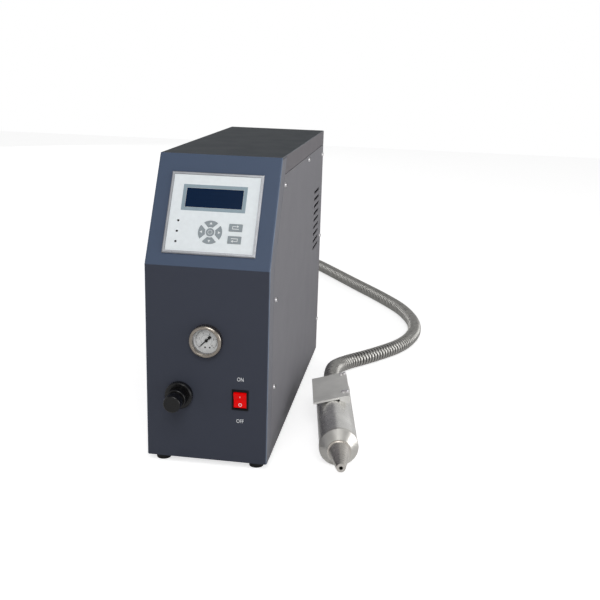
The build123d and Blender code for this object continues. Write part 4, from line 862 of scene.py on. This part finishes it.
@dataclass
class KeyPanel:
    """Printed marks of the leaning control panel."""

    face: Face = field(
        default_factory=lambda: Face(
            Vector((0, -0.255, 0.285)),
            Vector((1, 0, 0)),
            Vector((0, -math.cos(math.atan2(78, 138)), math.sin(math.atan2(78, 138)))),
        )
    )
    overlay_top: float = 2.0
    key_top: float = 2.3
    window: tuple[float, float] = (-1.0, 95.5)
    window_size: tuple[float, float] = (78.2, 27.6)
    surround: float = 4.6
    pad: tuple[float, float] = (-1.0, 48.3)
    arrow_reach: float = 11.9
    arrow_r: float = 2.2
    ring_r: float = 2.8
    ring_steps: int = 16
    side_keys: tuple[tuple[str, float, int], ...] = (("key_menu", 56.3, 1), ("key_back", 39.5, -1))
    side_x: float = 32.7
    bend_rise: float = 1.8
    head_r: float = 1.9

    def build(self) -> None:
        """Makes the display's surround and the icons on the keys."""
        self.window_surround()
        for name, angle in (("key_right", 0), ("key_up", 90), ("key_left", 180), ("key_down", 270)):
            self.arrow(name, angle)
        self.enter_mark()
        for name, height, way in self.side_keys:
            self.bent_arrow(name, height, way)

    def window_surround(self) -> None:
        """Prints the grey band round the display window."""
        mesh = bmesh.new()
        wide, tall = (size + 2 * self.surround for size in self.window_size)
        for sign in (-1, 1):
            shift = sign * (self.window_size[1] + self.surround) / 2
            place = self.face.matrix((self.window[0], self.window[1] + shift), self.overlay_top)
            bar(mesh, (wide, self.surround, INK_T), place)
            shift = sign * (self.window_size[0] + self.surround) / 2
            place = self.face.matrix((self.window[0] + shift, self.window[1]), self.overlay_top)
            bar(mesh, (self.surround, tall - 2 * self.surround, INK_T), place)
        shell("display_surround", mesh, SURROUND, "unit")

    def arrow(self, name: str, angle: float) -> None:
        """Prints a small arrowhead on a key of the round pad."""
        turn = math.radians(angle)
        reach = self.arrow_reach
        at = (self.pad[0] + reach * math.cos(turn), self.pad[1] + reach * math.sin(turn))
        mesh = bmesh.new()
        dot(mesh, self.arrow_r, INK_T, 3, self.face.matrix(at, self.key_top, angle - 90))
        shell(f"{name}_arrow", mesh, WHITE_INK, name)

    def enter_mark(self) -> None:
        """Prints a ring on the middle key."""
        mesh = bmesh.new()
        for step in range(self.ring_steps):
            turn = step * 360 / self.ring_steps
            at = (
                self.pad[0] + self.ring_r * math.cos(math.radians(turn)),
                self.pad[1] + self.ring_r * math.sin(math.radians(turn)),
            )
            bar(mesh, (0.5, 1.1, INK_T), self.face.matrix(at, self.key_top, turn))
        shell("key_enter_ring", mesh, WHITE_INK, "key_enter")

    def bent_arrow(self, name: str, height: float, way: int) -> None:
        """Prints a bent arrow on a side key.

        Args:
            name: The key's node and body.
            height: The key's middle up the face, in millimetres.
            way: 1 for an arrow to the right, -1 for one to the left.
        """
        mesh = bmesh.new()
        low, high = height - self.bend_rise * way, height + self.bend_rise * way
        bar(mesh, (9.0, 0.9, INK_T), self.face.matrix((self.side_x, low), self.key_top))
        bar(mesh, (0.8, 2 * self.bend_rise, INK_T), self.face.matrix((self.side_x - 4.1 * way, height), self.key_top))
        bar(mesh, (5.4, 0.8, INK_T), self.face.matrix((self.side_x - 1.6 * way, high), self.key_top))
        place = self.face.matrix((self.side_x + 2.6 * way, high), self.key_top, -90 * way)
        dot(mesh, self.head_r, INK_T, 3, place)
        shell(f"{name}_icon", mesh, WHITE_INK, name)


@dataclass
class Gauge:
    """Printed scale of the pressure gauge."""

    face: Face = field(
        default_factory=lambda: Face(Vector((0, -0.255, 0.1853)), Vector((1, 0, 0)), Vector((0, -1, 0)))
    )
    start: float = 225.0
    sweep: float = 270.0
    marks: int = 40
    numbers: int = 6
    number_size: float = 3.3
    number_in: float = 4.8
    scale_r: float = 14.9
    scale_steps: int = 72
    arc_r: float = 7.6
    arc_steps: int = 60
    dot_r: float = 1.2

    def spot(self, share: float, reach: float) -> tuple[tuple[float, float], float]:
        """The place and turn of a mark, a share of the way round the scale."""
        angle = self.start - self.sweep * share
        turn = math.radians(angle)
        return (reach * math.cos(turn), reach * math.sin(turn)), angle

    def ring(self, mesh: bmesh.types.BMesh, radius: float, steps: int, width: float, thick: float) -> None:
        """Prints a thin arc along the scale's sweep, as short bars.

        Args:
            mesh: The bmesh that takes it.
            radius: Its radius in millimetres.
            steps: The number of bars.
            width: Its line width in millimetres.
            thick: Its thickness in millimetres.
        """
        run = 2 * math.pi * radius * self.sweep / 360 / steps
        for step in range(steps):
            at, turn = self.spot((step + 0.5) / steps, radius)
            bar(mesh, (width, run, thick), self.face.matrix(at, 0.0, turn))

    def build(self) -> None:
        """Makes the ticks, the numbers, the two dots and the inner arc."""
        mesh = bmesh.new()
        for index in range(self.marks + 1):
            long = index % 8 == 0
            size = 2.4 if long else (1.7 if index % 4 == 0 else 1.1)
            at, turn = self.spot(index / self.marks, self.scale_r - size / 2)
            bar(mesh, (size, 0.45 if long else 0.24, DIAL_INK_T), self.face.matrix(at, 0.0, turn))
        self.ring(mesh, self.scale_r, self.scale_steps, 0.26, DIAL_INK_T)
        for number in range(self.numbers):
            at, turn = self.spot(number / (self.numbers - 1), self.scale_r - self.number_in)
            lettering(mesh, str(2 * number), self.number_size, self.face.matrix(at, INK_T))
        for shift in (-2.0, 4.5):
            dot(mesh, self.dot_r, DIAL_INK_T, 14, self.face.matrix((shift, -10.0), 0.0))
        shell("dial_scale", mesh, BLACK_INK, "unit")
        arc = bmesh.new()
        self.ring(arc, self.arc_r, self.arc_steps, 0.35, 0.04)
        shell("dial_arc", arc, GREY_INK, "unit")


@dataclass
class PowerSwitch:
    """Marks of the rocker switch."""

    face: Face = field(
        default_factory=lambda: Face(Vector((0.047, -0.255, 0.1035)), Vector((1, 0, 0)), Vector((0, -1, 0)))
    )
    pivot: float = 4.0
    waist: float = 4.5
    tilt: float = 9.0
    mark_out: float = 6.0
    ring_out: float = 6.2
    ring_r: float = 2.0
    ring_steps: int = 24
    words: tuple[tuple[str, float], ...] = (("ON", 29.4), ("OFF", -31.2))
    word_size: float = 6.9

    def half(self, side: int) -> Face:
        """The upper or lower half of the rocker's face, each leaning from the middle.

        Args:
            side: 1 for the upper half, -1 for the lower.

        Returns:
            The half's face, with its origin at the rocker's middle.
        """
        lean = math.radians(self.tilt + side * self.tilt)
        waist = math.radians(self.tilt)
        normal = Vector((0, -math.cos(lean), -math.sin(lean)))
        middle = Vector((0, -math.cos(waist), -math.sin(waist))) * self.waist * MM
        origin = self.face.origin + Vector((0, self.pivot * MM, 0)) + middle
        return Face(origin, Vector((1, 0, 0)), normal)

    def build(self) -> None:
        """Makes the I and O of the rocker and the words over and under it."""
        mesh = bmesh.new()
        bar(mesh, (0.6, 2.8, DIAL_INK_T), self.half(1).matrix((0, self.mark_out), 0.0))
        lower = self.half(-1)
        for step in range(self.ring_steps):
            turn = step * 360 / self.ring_steps
            across, up = (self.ring_r * part(math.radians(turn)) for part in (math.cos, math.sin))
            bar(mesh, (0.8, 0.55, DIAL_INK_T), lower.matrix((across, up - self.ring_out), 0.0, turn))
        shell("rocker_marks", mesh, WHITE_INK, "rocker")
        label = bmesh.new()
        for words, height in self.words:
            lettering(label, words, self.word_size, self.face.matrix((0, height), INK_T))
        shell("switch_words", label, WHITE_INK, "unit")


@dataclass
class ScrewCrosses:
    """The crossed recesses in the heads of the panel screws, as painted shade: dark marks on the heads' flat tops."""

    size: tuple[float, float, float] = (3.4, 0.7, 0.05)
    apart: float = 4.0

    def tops(self, node: bpy.types.Object, normal: Vector) -> list[Vector]:
        """The middles of the flat head tops that face one way, from the node's own mesh."""
        heads: list[list[Vector]] = []
        for face in node.data.polygons:
            if face.normal.dot(normal) < 0.999:
                continue
            head = next((head for head in heads if (head[0] - face.center).length < self.apart * MM), None)
            if head is None:
                head = []
                heads.append(head)
            head.extend(node.data.vertices[index].co.copy() for index in face.vertices)
        middles = []
        for head in heads:
            low = [min(point[axis] for point in head) for axis in range(3)]
            high = [max(point[axis] for point in head) for axis in range(3)]
            middles.append((Vector(low) + Vector(high)) / 2)
        return middles

    def build(self) -> None:
        """Paints a dark cross of shade on every head of the two sides and the rear."""
        node = bpy.data.objects["panel_screws"]
        mesh = bmesh.new()
        ways = (
            (Vector((1, 0, 0)), Vector((0, 1, 0))),
            (Vector((-1, 0, 0)), Vector((0, -1, 0))),
            (Vector((0, 1, 0)), Vector((-1, 0, 0))),
        )
        for normal, across in ways:
            for number, middle in enumerate(self.tops(node, normal)):
                face = Face(middle, across, normal)
                for turn in (0, 90):
                    bar(mesh, self.size, face.matrix((0, 0), 0.0, 17.0 * number + turn))
        shell("screw_recess_shade", mesh, BLACK_INK, "unit")


@dataclass
class Unit:
    """The whole object: finishes of the carried-over pieces, and the dressed sub-assemblies."""

    frame: dict

    def paint(self) -> None:
        """Gives every CAD node its finish."""
        for finish, names in FINISHES.items():
            for name in names:
                dress(self.frame["nodes"][name], finish)
        bare = set(self.frame["nodes"]) - {name for names in FINISHES.values() for name in names} - {"hose"}
        if bare:
            log.warning("no finish for %s", ", ".join(sorted(bare)))

    def build(self) -> None:
        """Builds every sub-assembly in order."""
        self.paint()
        for part in (KeyPanel(), Gauge(), PowerSwitch(), ScrewCrosses()):
            log.info("building %s", type(part).__name__)
            part.build()


def main() -> None:
    """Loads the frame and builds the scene."""
    logging.basicConfig(level=logging.INFO, format="%(name)s: %(message)s")
    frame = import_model()
    Camera().build()
    Hose().build()
    Studio().build()
    Unit(frame).build()


if __name__ == "__main__":
    main()
